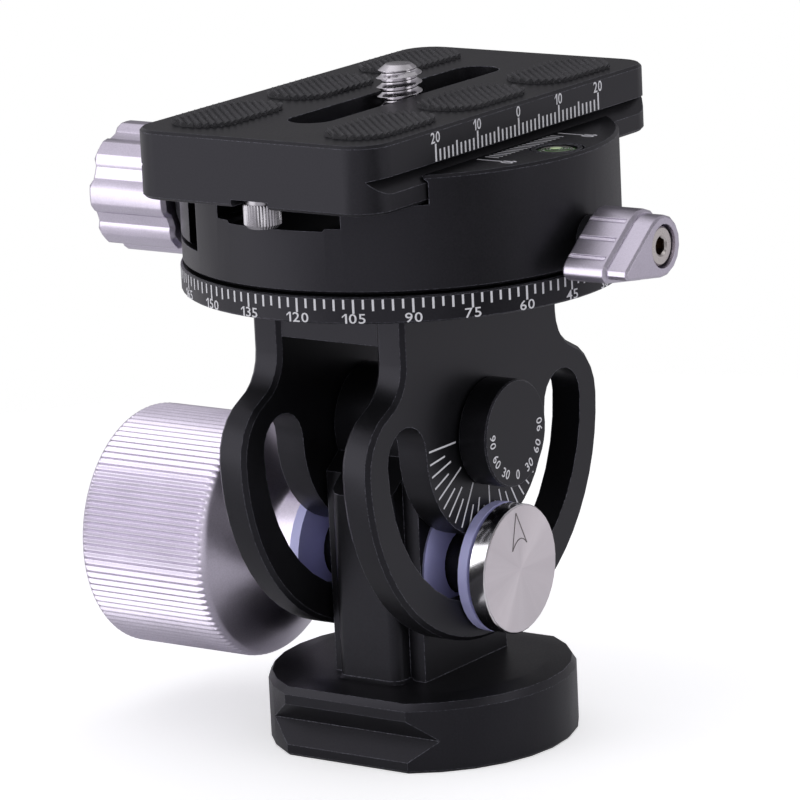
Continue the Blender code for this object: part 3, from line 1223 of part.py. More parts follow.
def build_stops(holder):
    """The two knurled safety stops, screwed into the plate's underside."""
    head_top = PLATE_BOTTOM + PLATE_CHANNEL_DEPTH - GAP
    head_bottom = PLATE_BOTTOM - STOP_HEAD_HEIGHT
    shank_top = PLATE_BOTTOM + PLATE_CHANNEL_DEPTH + STOP_SHANK_LENGTH - GAP
    core = STOP_RADIUS - 2 * STOP_RIDGE_DEPTH
    profile = [
        (0.0, shank_top),
        (STOP_SHANK_RADIUS, shank_top),
        (STOP_SHANK_RADIUS, head_top),
        (core, head_top),
        (core, head_bottom + STOP_EDGE),
        (core - STOP_EDGE, head_bottom),
        (0.0, head_bottom),
    ]
    for name, side in (("stop_screw_front", -1), ("stop_screw_back", 1)):
        y = side * (PLATE_HALF_LENGTH - STOP_INSET)
        stop = piece(name, profile_mesh(name, profile), at(0, y), holder, "steel")
        turn(stop, TINY_ROUND)
        outline = ridged_circle(STOP_RADIUS, STOP_RIDGE_DEPTH, STOP_RIDGES)
        ridges = flat_shape("stop_ridges", [outline], STOP_HEAD_HEIGHT - 2 * STOP_EDGE)
        join(stop, tool("stop_ridges", ridges, at(0, y, head_bottom + STOP_EDGE), holder))


def build_head():
    """Every body of the head, each hung on its own joint."""
    base = joint_empty("head", (0.0, 0.0, 0.0), None)
    base.location.x = -CENTRE_X
    knob_slide = joint_empty("tilt_lock_slide", (-CHEEK_OUTER, 0.0, LOCK_HEIGHT), base)
    knob_turn = joint_empty("tilt_lock_turn", (-KNOB_START, 0.0, LOCK_HEIGHT), knob_slide)
    tilt = joint_empty("tilt", (0.0, 0.0, PIVOT_HEIGHT), base)
    pan = joint_empty("pan", (0.0, 0.0, DRUM_BOTTOM), tilt)
    lock = joint_empty("pan_lock_turn", (DRUM_RADIUS, 0.0, PAN_LOCK_HEIGHT), pan)
    jaw = joint_empty("jaw_slide", (-DRUM_RADIUS, 0.0, CLAMP_HEIGHT), pan)
    clamp = joint_empty("clamp_knob_turn", (-CLAMP_KNOB_START, 0.0, CLAMP_HEIGHT), jaw)
    plate = joint_empty("plate_slide", (0.0, 0.0, PLATE_BOTTOM), pan)
    screw_slide = joint_empty("camera_screw_slide", (0.0, SCREW_SHIFT, PLATE_TOP), plate)
    screw_turn = joint_empty("camera_screw_turn", (0.0, SCREW_SHIFT, PLATE_TOP), screw_slide)
    build_foot_and_post(base)
    build_bushing(base)
    build_tilt_lock(base, knob_slide)
    build_tilt_knob(knob_turn)
    build_yoke(tilt)
    build_pivot(tilt)
    build_pan_axle(tilt)
    build_drum(pan)
    build_bubble(pan)
    build_guide_pins(pan)
    build_pan_lock(lock)
    build_movable_jaw(jaw)
    build_clamp_washer(jaw)
    build_clamp_knob(clamp)
    build_plate(plate)
    build_pads(plate)
    build_stops(plate)
    build_camera_screw(screw_slide, screw_turn)


clear_scene()
PARTS = new_collection("two_way_panoramic_head")
CUTTERS = new_collection("cutters")
FINISHES = {
    "black": new_material("black_anodised", (0.020, 0.020, 0.024), 0.42, 0.6),
    "silver": new_material("silver_anodised", (0.62, 0.60, 0.68), 0.36, 0.9),
    "polished": new_material("polished_steel", (0.66, 0.63, 0.64), 0.16, 1.0),
    "steel": new_material("steel", (0.58, 0.58, 0.60), 0.26, 1.0),
    "dark_steel": new_material("blackened_steel", (0.035, 0.035, 0.040), 0.35, 0.8),
    "brass": new_material("brass", (0.72, 0.52, 0.24), 0.32, 1.0),
    "lavender": new_material("lavender_nylon", (0.42, 0.42, 0.68), 0.55, 0.0),
    "rubber": new_material("black_rubber", (0.022, 0.022, 0.024), 0.85, 0.0),
    "green": new_material("level_green", (0.40, 0.68, 0.22), 0.12, 0.0),
}
build_head()
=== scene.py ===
"""Looks of the two-way panoramic head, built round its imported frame.

Lengths are in metres, +Z up. The pan axis is vertical at PAN_X, and the tilt axis runs along X.
"""

import json
import math

import bmesh
import bpy
from mathutils import Matrix, Vector


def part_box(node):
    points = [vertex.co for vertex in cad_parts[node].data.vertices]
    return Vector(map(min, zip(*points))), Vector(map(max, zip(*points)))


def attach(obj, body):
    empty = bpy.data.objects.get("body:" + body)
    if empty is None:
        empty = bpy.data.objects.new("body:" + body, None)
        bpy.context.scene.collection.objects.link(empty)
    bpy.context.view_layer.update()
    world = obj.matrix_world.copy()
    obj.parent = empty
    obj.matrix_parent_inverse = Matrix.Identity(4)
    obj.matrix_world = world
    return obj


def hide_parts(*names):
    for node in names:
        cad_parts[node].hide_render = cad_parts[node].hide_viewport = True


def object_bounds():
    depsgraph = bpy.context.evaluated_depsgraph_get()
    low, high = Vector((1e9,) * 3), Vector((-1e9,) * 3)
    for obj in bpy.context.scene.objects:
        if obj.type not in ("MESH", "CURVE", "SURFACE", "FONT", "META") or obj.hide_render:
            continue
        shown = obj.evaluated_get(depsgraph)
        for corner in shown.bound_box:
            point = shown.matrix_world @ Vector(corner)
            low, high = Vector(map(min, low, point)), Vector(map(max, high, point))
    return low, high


# Camera of the photograph, in metres and degrees, aimed from a point on the pan axis
CAMERA_AZIMUTH = 35.06
CAMERA_ELEVATION = 13.27
CAMERA_ROLL = -2.73
CAMERA_DISTANCE = 0.750
CAMERA_ASIDE = -0.00358
CAMERA_RISE = 0.04577
CAMERA_LIFT = 0.00045
CAMERA_LENS = 239.61
CAMERA_NEAR = 0.01
SENSOR_WIDTH = 36.0

# Lamps: place, size and watts
LAMP_ABOVE = ((-0.15, 0.25, 0.95), (1.10, 0.90), 1.2)
LAMP_KEY = ((-0.80, -1.05, 0.35), (1.20, 1.30), 7.0)
LAMP_SIDE = ((1.10, 0.20, 0.40), (0.60, 0.90), 3.0)

# World: its light, and what reflections see of it: a dim ground with a glow towards two ways
WORLD_LIGHT = 0.55
WORLD_TINT = (0.96, 0.95, 1.0)
MIRROR_TINT = (0.97, 0.95, 1.0)
WHITE = (1.0, 1.0, 1.0)
KEY_WAY = (-0.574, -0.819, 0.0)
KEY_START = -0.6
KEY_GLOW = 0.91
SIDE_WAY = (0.574, 0.819, 0.0)
SIDE_START = 0.25
SIDE_GLOW = 0.88
GLOW_SPAN = 1.2
MIRROR_GROUND = 0.09

# Shading of the carried-over solids
WELD = 0.000002
SHADE_ANGLE = 30.0
THREAD_SHADE_ANGLE = 80.0

# Rounded edges and their painted highlight: reach of the rounding, and the turns where the painted
# highlight starts and is full
EDGE_REACH = 0.00016
EDGE_SAMPLES = 4
EDGE_FLAT = 0.97
EDGE_STEEP = 0.84
# Colour of the painted highlight along sharp edges
EDGE_HIGHLIGHT_TONE = (0.30, 0.30, 0.36)

# Noises below are how many a metre and their octaves, and reliefs are their strength and height
NOISE_SPAN = (0.3, 0.7)
CLOUD_SPAN = (0.35, 0.65)
ZERO_TO_ONE = (0.0, 1.0)
ONE_TO_ZERO = (1.0, 0.0)
FULL = 1.0

# Black anodised aluminium: three finishes, each a colour and its roughness
BLACK_BODY = ((0.0060, 0.0060, 0.0068), (0.32, 0.42))
BLACK_PLATE = ((0.0070, 0.0070, 0.0078), (0.34, 0.42))
BLACK_OXIDE = ((0.010, 0.010, 0.011), (0.28, 0.4))
OXIDE_GRAIN = 0.5
BLACK_GRAIN = (3800.0, 3.0)
BLACK_CLOUDS = (160.0, 3.0)
BLACK_GRAIN_SHARE = 0.7
BLACK_TONES = (0.70, 1.35)
BLACK_SPOTS = (2400.0, 2.0)
BLACK_SPOT_SPAN = (0.38, 0.62)
BLACK_SPOT_LEAST = 0.1
BLACK_RELIEF = (0.16, 0.00004)
BLACK_IOR = 1.36
BLACK_SHINE = (0.88, 0.86, 1.0)

# Silver anodised aluminium
SILVER = ((0.56, 0.52, 0.61), (0.28, 0.36))
SILVER_GRAIN = (4200.0, 3.0)
SILVER_CLOUDS = (120.0, 2.0)
SILVER_GRAIN_SHARE = 0.6
SILVER_TONES = (0.90, 1.08)
SILVER_RELIEF = (0.10, 0.00003)

# Turned metals: colour, roughness and the axis that the turning went round
BRIGHT_STEEL = ((0.72, 0.70, 0.70), (0.16, 0.24), 0)
TURNED_STEEL = ((0.54, 0.52, 0.55), (0.20, 0.30), 2)
STOP_STEEL = ((0.35, 0.34, 0.36), (0.20, 0.30), 2)
SCREW_STEEL = ((0.60, 0.58, 0.61), (0.14, 0.22), 2)
BRASS = ((0.72, 0.52, 0.24), (0.2, 0.3), 0)
TURNED_LINES = (6500.0, 2.0)
TURNED_STRETCH = 0.06
TURNED_CLOUDS = (300.0, 2.0)
TURNED_DARK = 0.86
TURNED_RELIEF = (0.10, 0.00002)

# The bolt's brushed cap, with painted sheen in sectors round its face
CAP_RINGS = (9000.0, 2.0)
CAP_SHEEN_SECTORS = (2.2, 3.0)
CAP_EDGE = (-0.00012, -0.00004)
CAP_ROUGH = (0.30, 0.36)
CAP_RIM_ROUGH = 0.16
CAP_SHEEN_TONES = ((0.70, 0.65, 0.68), (0.76, 0.71, 0.74))
CAP_RIM_TONE = (0.78, 0.77, 0.79)
CAP_RELIEF = (0.02, 0.00001)
CAP_BRUSHING = 0.75

# The other materials
NYLON_CLOUDS = (500.0, 3.0)
NYLON_GRAIN = (2600.0, 2.0)
NYLON_TONES = ((0.50, 0.50, 0.86), (0.58, 0.58, 0.92))
NYLON_ROUGH = (0.38, 0.5)
NYLON_RELIEF = (0.06, 0.00003)
RUBBER_GRAIN = (4200.0, 4.0)
RUBBER_SPECKS = (2400.0, 0.26)
RUBBER_SPECK_SPAN = (0.48, 0.58)
RUBBER_TONES = ((0.010, 0.010, 0.012), (0.036, 0.035, 0.040))
RUBBER_SPECK_TONE = (0.26, 0.26, 0.29)
RUBBER_ROUGH = (0.62, 0.85)
RUBBER_RELIEF = (0.5, 0.00010)
SOCKET_GRAIN = (3000.0, 3.0)
SOCKET_TONES = ((0.52, 0.48, 0.46), (0.66, 0.62, 0.60))
# Painted shade inside the hexagon socket
SOCKET_PAINTED_SHADE = (0.10, 0.07, 0.045)
SOCKET_ROUGH = (0.26, 0.36)
SOCKET_RELIEF = (0.06, 0.00002)
PRINT_CLOUDS = (5200.0, 2.0)
PRINT_TONES = ((0.60, 0.60, 0.63), (0.78, 0.78, 0.81))
PRINT_ROUGH = (0.45, 0.6)
PRINT_RELIEF = (0.05, 0.00001)
ETCH_CLOUDS = (4000.0, 2.0)
ETCH_TONES = ((0.10, 0.09, 0.09), (0.18, 0.16, 0.16))
ETCH_ROUGH = (0.5, 0.7)
ETCH_RELIEF = (0.05, 0.00001)
LIQUID_CLOUDS = (900.0, 2.0)
LIQUID_TONES = ((0.05, 0.14, 0.03), (0.09, 0.22, 0.05))
# Painted highlight: a pale ring at the lens's edge
LIQUID_RIM = (0.0027, 0.0029)
LIQUID_RIM_HIGHLIGHT = (0.26, 0.29, 0.20)
LIQUID_ROUGH = (0.12, 0.2)
LIQUID_COAT_ROUGH = 0.03
AIR_CLOUDS = (1500.0, 2.0)
AIR_TONES = ((0.62, 0.80, 0.42), (0.74, 0.90, 0.55))
AIR_ROUGH = (0.05, 0.1)
AIR_RELIEF = (0.03, 0.00001)

# Printed marks
PRINT_THICKNESS = 0.00004
PRINT_SINK = 0.00001
GLYPH_STEPS = 3
GLYPH_BOLD = 0.006
DIGIT_GAP = 0.16
FLAG_REACH = 0.26
FLAG_DROP = 0.28
FLAG_WEIGHT = 0.16

# Panorama ring
RING_TICK = 2.5
RING_LABEL = 15
RING_TICK_DROP = 0.00028
RING_MEDIUM_TICK = 5
RING_LONG = 0.0019
RING_MEDIUM = 0.00155
RING_SHORT = 0.0013
RING_LINE_WIDTH = 0.00030
RING_DIGITS = 0.00132
RING_DIGIT_WIDE = 1.25
RING_THICKNESS = 0.00365
RING_DIGIT_RISE = 0.00012
RING_ZERO = 36.85
RING_TURN = 360

# Tilt scale on the right cheek and its numerals on the boss
FAN_STEP = 7.5
FAN_MEDIUM_STEP = 15
FAN_REACH = 90
FAN_LINE_WIDTH = 0.00025
FAN_SINK = 0.0003
FAN_OUTER = 0.0141
FAN_LONG = 0.0076
FAN_MEDIUM = 0.0093
FAN_SHORT = 0.01045
BOSS_LABEL = 30
BOSS_DIGITS = 0.00135
BOSS_DIGIT_RADIUS = 0.0058

# Plate's side scale
PLATE_TICK = 0.001
PLATE_TICKS = 20
PLATE_TICK_LABEL = 10
PLATE_TICK_MEDIUM = 5
PLATE_LINE_WIDTH = 0.00034
PLATE_TICK_START = 0.0050
PLATE_LONG = 0.00238
PLATE_MEDIUM = 0.0020
PLATE_SHORT = 0.00155
PLATE_DIGITS = 0.00147
PLATE_DIGIT_GAP = 0.00012

# Fixed jaw's top scale
JAW_TICK = 0.001
JAW_TICKS = 10
JAW_TICK_BARE = 9
JAW_LINE_START = 0.02025
JAW_LINE_SHORT = 0.0021
JAW_LINE_LONG = 0.0039
JAW_LINE_WIDTH = 0.00022
JAW_DIGITS = 0.0020
JAW_DIGIT_WIDE = 0.7
JAW_DIGIT_GAP = 0.0001
JAW_SHIFT = -0.0007

# Pointer on the bolt's round head
ARROW_TIP = (-0.0006, 0.0081)
ARROW_LEFT = (-0.0018, 0.0029)
ARROW_RIGHT = (0.0018, 0.0034)
ARROW_NOTCH = (0.0001, 0.0054)
ARROW_WIDTH = 0.00014
ARROW_STEPS = 8

# Ribbed pads
PAD_PITCH = 0.00098
PAD_VALLEY = 0.00022
PAD_WAVE = 0.00018
PAD_OVERLAP = 0.00040
PAD_CREST_SHARE = 0.8
PAD_ROWS = 150
PAD_COLUMNS = 60
PAD_CORNER = 0.0044

# Camera screw
SCREW_PITCH = 0.00127
SCREW_CREST = 0.0032
SCREW_ROOT = 0.0024
SCREW_FLAT_RADIUS = 0.0018
SCREW_CONE_HEIGHT = 0.0011
SCREW_HEAD_HEIGHT = 0.0032
SCREW_HEAD_EDGE = 0.0003
SCREW_TOOTH_SHARE = 1.5
SCREW_ROUND = 64
SCREW_STEPS_A_TURN = 24

# Large knob of the tilt lock
KNOB_GRIP = 0.0211
KNOB_EDGE = 0.0008
KNOB_RIM = 0.00055
KNOB_FLUTES = 104
KNOB_FLUTE_DEPTH = 0.00042
KNOB_BROW = 0.0012
KNOB_LEAN = math.radians(50)
KNOB_NECK_DROP = 0.0077
KNOB_NECK_FILLET = 0.0020
KNOB_STEPS = 14
RIDGE_POINTS = 6

# Safety stops
STOP_EDGE = 0.0005
STOP_HEAD = 0.0033
STOP_FLUTES = 38
STOP_FLUTE_DEPTH = 0.00014
STOP_COLLAR_RADIUS = 0.0023
STOP_COLLAR_TOP = 0.0060
STOP_SHANK_RADIUS = 0.0014

# Hexagon screw of the wing
HEX_CORNER = 0.0013
HEX_MOUTH = 0.00145
HEX_LEAD = 0.00025
HEX_DEPTH = 0.0012
HEX_TIP = 0.0003
HEX_ROUND = 60

# Bubble level
VIAL_ROUND = 48
VIAL_DOME = 0.00025
BUBBLE_RADIUS = 0.0008
BUBBLE_ASIDE = (-0.0002, 0.0001)
VIAL_RING_RADII = (0.0013, 0.0020)
VIAL_RING_WIDTH = 0.00016
VIAL_SHARES = (1.0, 0.8, 0.6, 0.4, 0.2)
BUBBLE_SHARES = ((1.0, 0.0), (0.9, 0.5), (0.5, 1.0), (0.2, 1.1))

# Floor
FLOOR_RADIUS = 0.60
FLOOR_FADE_START = 0.06
FLOOR_FADE_END = 0.22
FLOOR_LIFT = 0.46
FLOOR_ROUND = 96
FLOOR_GRAIN = (900.0, 2.0)
FLOOR_TONES = ((0.90, 0.90, 0.91), (0.94, 0.94, 0.95))
FLOOR_ROUGH = 0.9
FLOOR_RELIEF = (0.05, 0.0002)


def middle(node):
    """The centre of a node's box."""
    low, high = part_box(node)
    return (low + high) / 2


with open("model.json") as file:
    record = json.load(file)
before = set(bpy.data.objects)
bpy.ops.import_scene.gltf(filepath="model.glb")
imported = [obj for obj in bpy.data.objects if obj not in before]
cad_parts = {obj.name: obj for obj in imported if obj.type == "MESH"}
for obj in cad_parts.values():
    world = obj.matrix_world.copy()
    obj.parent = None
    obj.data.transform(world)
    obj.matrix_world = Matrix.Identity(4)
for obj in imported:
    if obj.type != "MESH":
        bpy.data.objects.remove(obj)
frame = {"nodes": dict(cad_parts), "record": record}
CAD_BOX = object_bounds()
NODES = frame["nodes"]
PAN_X = middle("pan_axle").x
PIVOT = middle("pivot_pin")


# Camera, lamps, world and floor


def build_camera():
    """The photograph's camera: turned about the pan axis, raised, rolled and moved aside."""
    azimuth = math.radians(CAMERA_AZIMUTH)
    elevation = math.radians(CAMERA_ELEVATION)
    roll = math.radians(CAMERA_ROLL)
    flat = math.cos(elevation)
    back = Vector((math.sin(azimuth) * flat, -math.cos(azimuth) * flat, math.sin(elevation)))
    level = Vector((math.cos(azimuth), math.sin(azimuth), 0.0))
    upright = back.cross(level)
    right = math.cos(roll) * level + math.sin(roll) * upright
    up = math.cos(roll) * upright - math.sin(roll) * level
    place = back * CAMERA_DISTANCE + right * CAMERA_ASIDE + up * CAMERA_RISE
    place += Vector((PAN_X, 0.0, CAMERA_LIFT))
    data = bpy.data.cameras.new("photo_camera")
    data.lens = CAMERA_LENS
    data.sensor_width = SENSOR_WIDTH
    data.clip_start = CAMERA_NEAR
    camera = bpy.data.objects.new("photo_camera", data)
    bpy.context.scene.collection.objects.link(camera)
    turn = Matrix((right, up, back)).transposed().to_4x4()
    camera.matrix_world = Matrix.Translation(place) @ turn
    bpy.context.scene.camera = camera


def build_lamp(name, place, aim, size, power):
    """A soft rectangular lamp."""
    data = bpy.data.lights.new(name, "AREA")
    data.shape = "RECTANGLE"
    data.size, data.size_y = size
    data.energy = power
    lamp = bpy.data.objects.new(name, data)
    bpy.context.scene.collection.objects.link(lamp)
    lamp.location = place
    lamp.rotation_euler = (Vector(aim) - Vector(place)).to_track_quat("-Z", "Y").to_euler()


def build_lamps():
    """Three large soft lamps: above, before the left side, and a weaker one on the right."""
    aim = (PAN_X, 0.0, middle("drum").z)
    for name, lamp in (("lamp_above", LAMP_ABOVE), ("lamp_key", LAMP_KEY), ("lamp_side", LAMP_SIDE)):
        place, size, power = lamp
        build_lamp(name, place, aim, size, power)


def background(nodes, tint, strength):
    """One plain world colour."""
    plain = nodes.new("ShaderNodeBackground")
    plain.inputs["Color"].default_value = (*tint, 1.0)
    plain.inputs["Strength"].default_value = strength
    return plain


def ray_masks(nodes, links):
    """1 for rays from the camera or through a clear material, and 1 for rays of a reflection."""
    path = nodes.new("ShaderNodeLightPath")
    direct = nodes.new("ShaderNodeMath")
    direct.operation = "MAXIMUM"
    links.new(path.outputs["Is Camera Ray"], direct.inputs[0])
    links.new(path.outputs["Is Transmission Ray"], direct.inputs[1])
    return direct.outputs[0], path.outputs["Is Glossy Ray"]


def glow_towards(nodes, links, way, start, strength):
    """A glow of the world that is full towards one way and begins at a start."""
    place = nodes.new("ShaderNodeTexCoord")
    turn = nodes.new("ShaderNodeVectorMath")
    turn.operation = "DOT_PRODUCT"
    links.new(place.outputs["Generated"], turn.inputs[0])
    turn.inputs[1].default_value = way
    ramp = nodes.new("ShaderNodeMapRange")
    ramp.interpolation_type = "SMOOTHSTEP"
    links.new(turn.outputs["Value"], ramp.inputs["Value"])
    ramp.inputs["From Min"].default_value = start
    ramp.inputs["From Max"].default_value = start + GLOW_SPAN
    ramp.inputs["To Max"].default_value = strength
    return ramp.outputs["Result"]


def mirror_strength(nodes, links):
    """How bright reflections see the world: full towards the key lamp, and less behind the right."""
    ground = nodes.new("ShaderNodeValue")
    ground.outputs[0].default_value = MIRROR_GROUND
    total = ground.outputs[0]
    for glow in ((KEY_WAY, KEY_START, KEY_GLOW), (SIDE_WAY, SIDE_START, SIDE_GLOW)):
        add = nodes.new("ShaderNodeMath")
        add.operation = "ADD"
        links.new(glow_towards(nodes, links, *glow), add.inputs[0])
        links.new(total, add.inputs[1])
        total = add.outputs[0]
    return total


def build_world():
    """A grey world that the camera sees as white, and reflections as dark with two glows."""
    world = bpy.data.worlds.new("studio")
    bpy.context.scene.world = world
    world.use_nodes = True
    nodes, links = world.node_tree.nodes, world.node_tree.links
    nodes.clear()
    output = nodes.new("ShaderNodeOutputWorld")
    direct, glossy = ray_masks(nodes, links)
    mirror = background(nodes, MIRROR_TINT, FULL)
    links.new(mirror_strength(nodes, links), mirror.inputs["Strength"])
    last = background(nodes, WORLD_TINT, WORLD_LIGHT)
    for chosen, shown in ((glossy, mirror), (direct, background(nodes, WHITE, FULL))):
        mix = nodes.new("ShaderNodeMixShader")
        links.new(chosen, mix.inputs[0])
        links.new(last.outputs[0], mix.inputs[1])
        links.new(shown.outputs[0], mix.inputs[2])
        last = mix
    links.new(last.outputs[0], output.inputs["Surface"])


def build_floor():
    """A pale round floor that fades out into the background."""
    mesh = bpy.data.meshes.new("floor")
    shape = bmesh.new()
    bmesh.ops.create_circle(shape, cap_ends=True, segments=FLOOR_ROUND, radius=FLOOR_RADIUS)
    shape.to_mesh(mesh)
    shape.free()
    floor = bpy.data.objects.new("floor", mesh)
    bpy.context.scene.collection.objects.link(floor)
    floor.location = (PAN_X, 0.0, CAD_BOX[0].z)
    recipe = Recipe("floor_paper")
    grain = recipe.noise(*FLOOR_GRAIN)
    recipe.colour(recipe.mix(grain, *FLOOR_TONES))
    recipe.set("Roughness", FLOOR_ROUGH)
    recipe.bump(grain, *FLOOR_RELIEF)
    direct = ray_masks(recipe.nodes, recipe.links)[0]
    recipe.set("Emission Color", (*WHITE, FULL))
    lift = recipe.math("MULTIPLY", direct, FLOOR_LIFT)
    recipe.links.new(lift, recipe.shader.inputs["Emission Strength"])
    distance = recipe.length(recipe.place)
    fade = recipe.span(distance, (FLOOR_FADE_START, FLOOR_FADE_END), ONE_TO_ZERO)
    recipe.links.new(fade, recipe.shader.inputs["Alpha"])
    mesh.materials.append(recipe.material)


# Materials


class Recipe:
    """A material being made: one Principled shader and short ways to feed it."""

    def __init__(self, name):
        self.material = bpy.data.materials.new(name)
        self.material.use_nodes = True
        self.nodes = self.material.node_tree.nodes
        self.links = self.material.node_tree.links
        self.shader = self.nodes["Principled BSDF"]
        self.place = self.nodes.new("ShaderNodeTexCoord").outputs["Object"]
        self.rounded = None

    def set(self, name, value):
        """A constant on one of the shader's own sockets."""
        self.shader.inputs[name].default_value = value

    def moved(self, centre=(0.0, 0.0, 0.0), stretch=(1.0, 1.0, 1.0)):
        """Coordinates measured from a centre and stretched along the axes."""
        shift = self.nodes.new("ShaderNodeVectorMath")
        shift.operation = "SUBTRACT"
        self.links.new(self.place, shift.inputs[0])
        shift.inputs[1].default_value = centre
        scale = self.nodes.new("ShaderNodeVectorMath")
        scale.operation = "MULTIPLY"
        self.links.new(shift.outputs[0], scale.inputs[0])
        scale.inputs[1].default_value = stretch
        return scale.outputs[0]

    def noise(self, scale, detail, place=None):
        """Cloudy noise, so many times a metre."""
        noise = self.nodes.new("ShaderNodeTexNoise")
        noise.inputs["Scale"].default_value = scale
        noise.inputs["Detail"].default_value = detail
        self.links.new(place or self.place, noise.inputs["Vector"])
        return noise.outputs["Fac"]

    def specks(self, scale, size):
        """1 in small scattered specks and 0 between them."""
        cells = self.nodes.new("ShaderNodeTexVoronoi")
        cells.inputs["Scale"].default_value = scale
        self.links.new(self.place, cells.inputs["Vector"])
        return self.span(cells.outputs["Distance"], (0.0, size), ONE_TO_ZERO)

    def span(self, source, old, new):
        """A value carried from one span to another, held at its ends."""
        node = self.nodes.new("ShaderNodeMapRange")
        node.clamp = True
        self.links.new(source, node.inputs["Value"])
        node.inputs["From Min"].default_value = old[0]
        node.inputs["From Max"].default_value = old[1]
        node.inputs["To Min"].default_value = new[0]
        node.inputs["To Max"].default_value = new[1]
        return node.outputs["Result"]

    def math(self, operation, *terms):
        """One sum, of values or of other nodes' outputs."""
        node = self.nodes.new("ShaderNodeMath")
        node.operation = operation
        for socket, term in zip(node.inputs, terms):
            if isinstance(term, (int, float)):
                socket.default_value = term
            else:
                self.links.new(term, socket)
        return node.outputs[0]

    def mix(self, factor, low, high):
        """A colour between two others."""
        node = self.nodes.new("ShaderNodeMix")
        node.data_type = "RGBA"
        self.links.new(factor, node.inputs["Factor"])
        for socket, colour in ((node.inputs[6], low), (node.inputs[7], high)):
            if isinstance(colour, tuple):
                socket.default_value = (*colour, 1.0)
            else:
                self.links.new(colour, socket)
        return node.outputs[2]

    def colour(self, source):
        """The base colour."""
        self.links.new(source, self.shader.inputs["Base Color"])

    def rough(self, source):
        """The roughness."""
        self.links.new(source, self.shader.inputs["Roughness"])

    def rough_by(self, noise, ends):
        """A roughness that goes from one end to the other with a noise."""
        self.rough(self.span(noise, NOISE_SPAN, ends))

    def blend(self, fine, broad, share):
        """Two noises added, the fine one by its share."""
        return self.math("ADD", self.math("MULTIPLY", fine, share), self.math("MULTIPLY", broad, 1 - share))

    def length(self, place):
        """How far a place is from the centre that it is measured from."""
        node = self.nodes.new("ShaderNodeVectorMath")
        node.operation = "LENGTH"
        self.links.new(place, node.inputs[0])
        return node.outputs["Value"]

    def split(self, place):
        """A place's own X, Y and Z."""
        node = self.nodes.new("ShaderNodeSeparateXYZ")
        self.links.new(place, node.inputs[0])
        return node.outputs

    def line_noise(self, scale, detail, along):
        """Noise along one measure only."""
        node = self.nodes.new("ShaderNodeTexNoise")
        node.noise_dimensions = "1D"
        node.inputs["Scale"].default_value = scale
        node.inputs["Detail"].default_value = detail
        self.links.new(along, node.inputs["W"])
        return node.outputs["Fac"]

    def worn(self):
        """1 along sharp edges and 0 elsewhere, the mask of the painted edge highlight; the bump that
        follows rounds those edges too.
        """
        round_edge = self.nodes.new("ShaderNodeBevel")
        round_edge.samples = EDGE_SAMPLES
        round_edge.inputs["Radius"].default_value = EDGE_REACH
        self.rounded = round_edge.outputs["Normal"]
        own = self.nodes.new("ShaderNodeNewGeometry")
        turn = self.nodes.new("ShaderNodeVectorMath")
        turn.operation = "DOT_PRODUCT"
        self.links.new(self.rounded, turn.inputs[0])
        self.links.new(own.outputs["Normal"], turn.inputs[1])
        return self.span(turn.outputs["Value"], (EDGE_FLAT, EDGE_STEEP), ZERO_TO_ONE)

    def bump(self, height, strength, distance):
        """Small relief."""
        node = self.nodes.new("ShaderNodeBump")
        node.inputs["Strength"].default_value = strength
        node.inputs["Distance"].default_value = distance
        self.links.new(height, node.inputs["Height"])
        if self.rounded:
            self.links.new(self.rounded, node.inputs["Normal"])
        self.links.new(node.outputs[0], self.shader.inputs["Normal"])


def black_anodised(name, tone, rough, grain=FULL):
    """Bead-blasted aluminium, dyed black: fine grain, faint clouds and a painted highlight, lighter in
    specks, along sharp edges.
    """
    recipe = Recipe(name)
    fine = recipe.noise(*BLACK_GRAIN)
    blend = recipe.blend(fine, recipe.noise(*BLACK_CLOUDS), BLACK_GRAIN_SHARE)
    dark, light = [tuple(part * share for part in tone) for share in BLACK_TONES]
    body = recipe.mix(recipe.span(blend, CLOUD_SPAN, ZERO_TO_ONE), dark, light)
    spots = recipe.span(recipe.noise(*BLACK_SPOTS), BLACK_SPOT_SPAN, (BLACK_SPOT_LEAST, FULL))
    # painted highlight: sharp edges turn lighter, in specks
    edge_highlight = recipe.math("MULTIPLY", recipe.worn(), spots)
    recipe.colour(recipe.mix(edge_highlight, body, EDGE_HIGHLIGHT_TONE))
    recipe.rough_by(blend, rough)
    strength, height = BLACK_RELIEF
    recipe.bump(fine, strength * grain, height)
    recipe.set("IOR", BLACK_IOR)
    recipe.set("Specular Tint", (*BLACK_SHINE, FULL))
    return recipe.material


def silver_anodised(name, tone, rough):
    """Satin anodised aluminium with a faint lavender tint."""
    recipe = Recipe(name)
    fine = recipe.noise(*SILVER_GRAIN)
    blend = recipe.blend(fine, recipe.noise(*SILVER_CLOUDS), SILVER_GRAIN_SHARE)
    dark, light = [tuple(part * share for part in tone) for share in SILVER_TONES]
    recipe.colour(recipe.mix(recipe.span(blend, CLOUD_SPAN, ZERO_TO_ONE), dark, light))
    recipe.rough_by(blend, rough)
    recipe.worn()
    recipe.bump(fine, *SILVER_RELIEF)
    recipe.set("Metallic", FULL)
    return recipe.material


def turned_metal(name, tone, rough, axis):
    """Bright metal with fine lines from turning, wrapped round an axis."""
    recipe = Recipe(name)
    stretch = tuple(FULL if at == axis else TURNED_STRETCH for at in range(3))
    lines = recipe.noise(*TURNED_LINES, recipe.moved(stretch=stretch))
    dark = tuple(part * TURNED_DARK for part in tone)
    recipe.colour(recipe.mix(recipe.noise(*TURNED_CLOUDS), dark, tone))
    recipe.rough_by(lines, rough)
    recipe.bump(lines, *TURNED_RELIEF)
    recipe.set("Metallic", FULL)
    return recipe.material


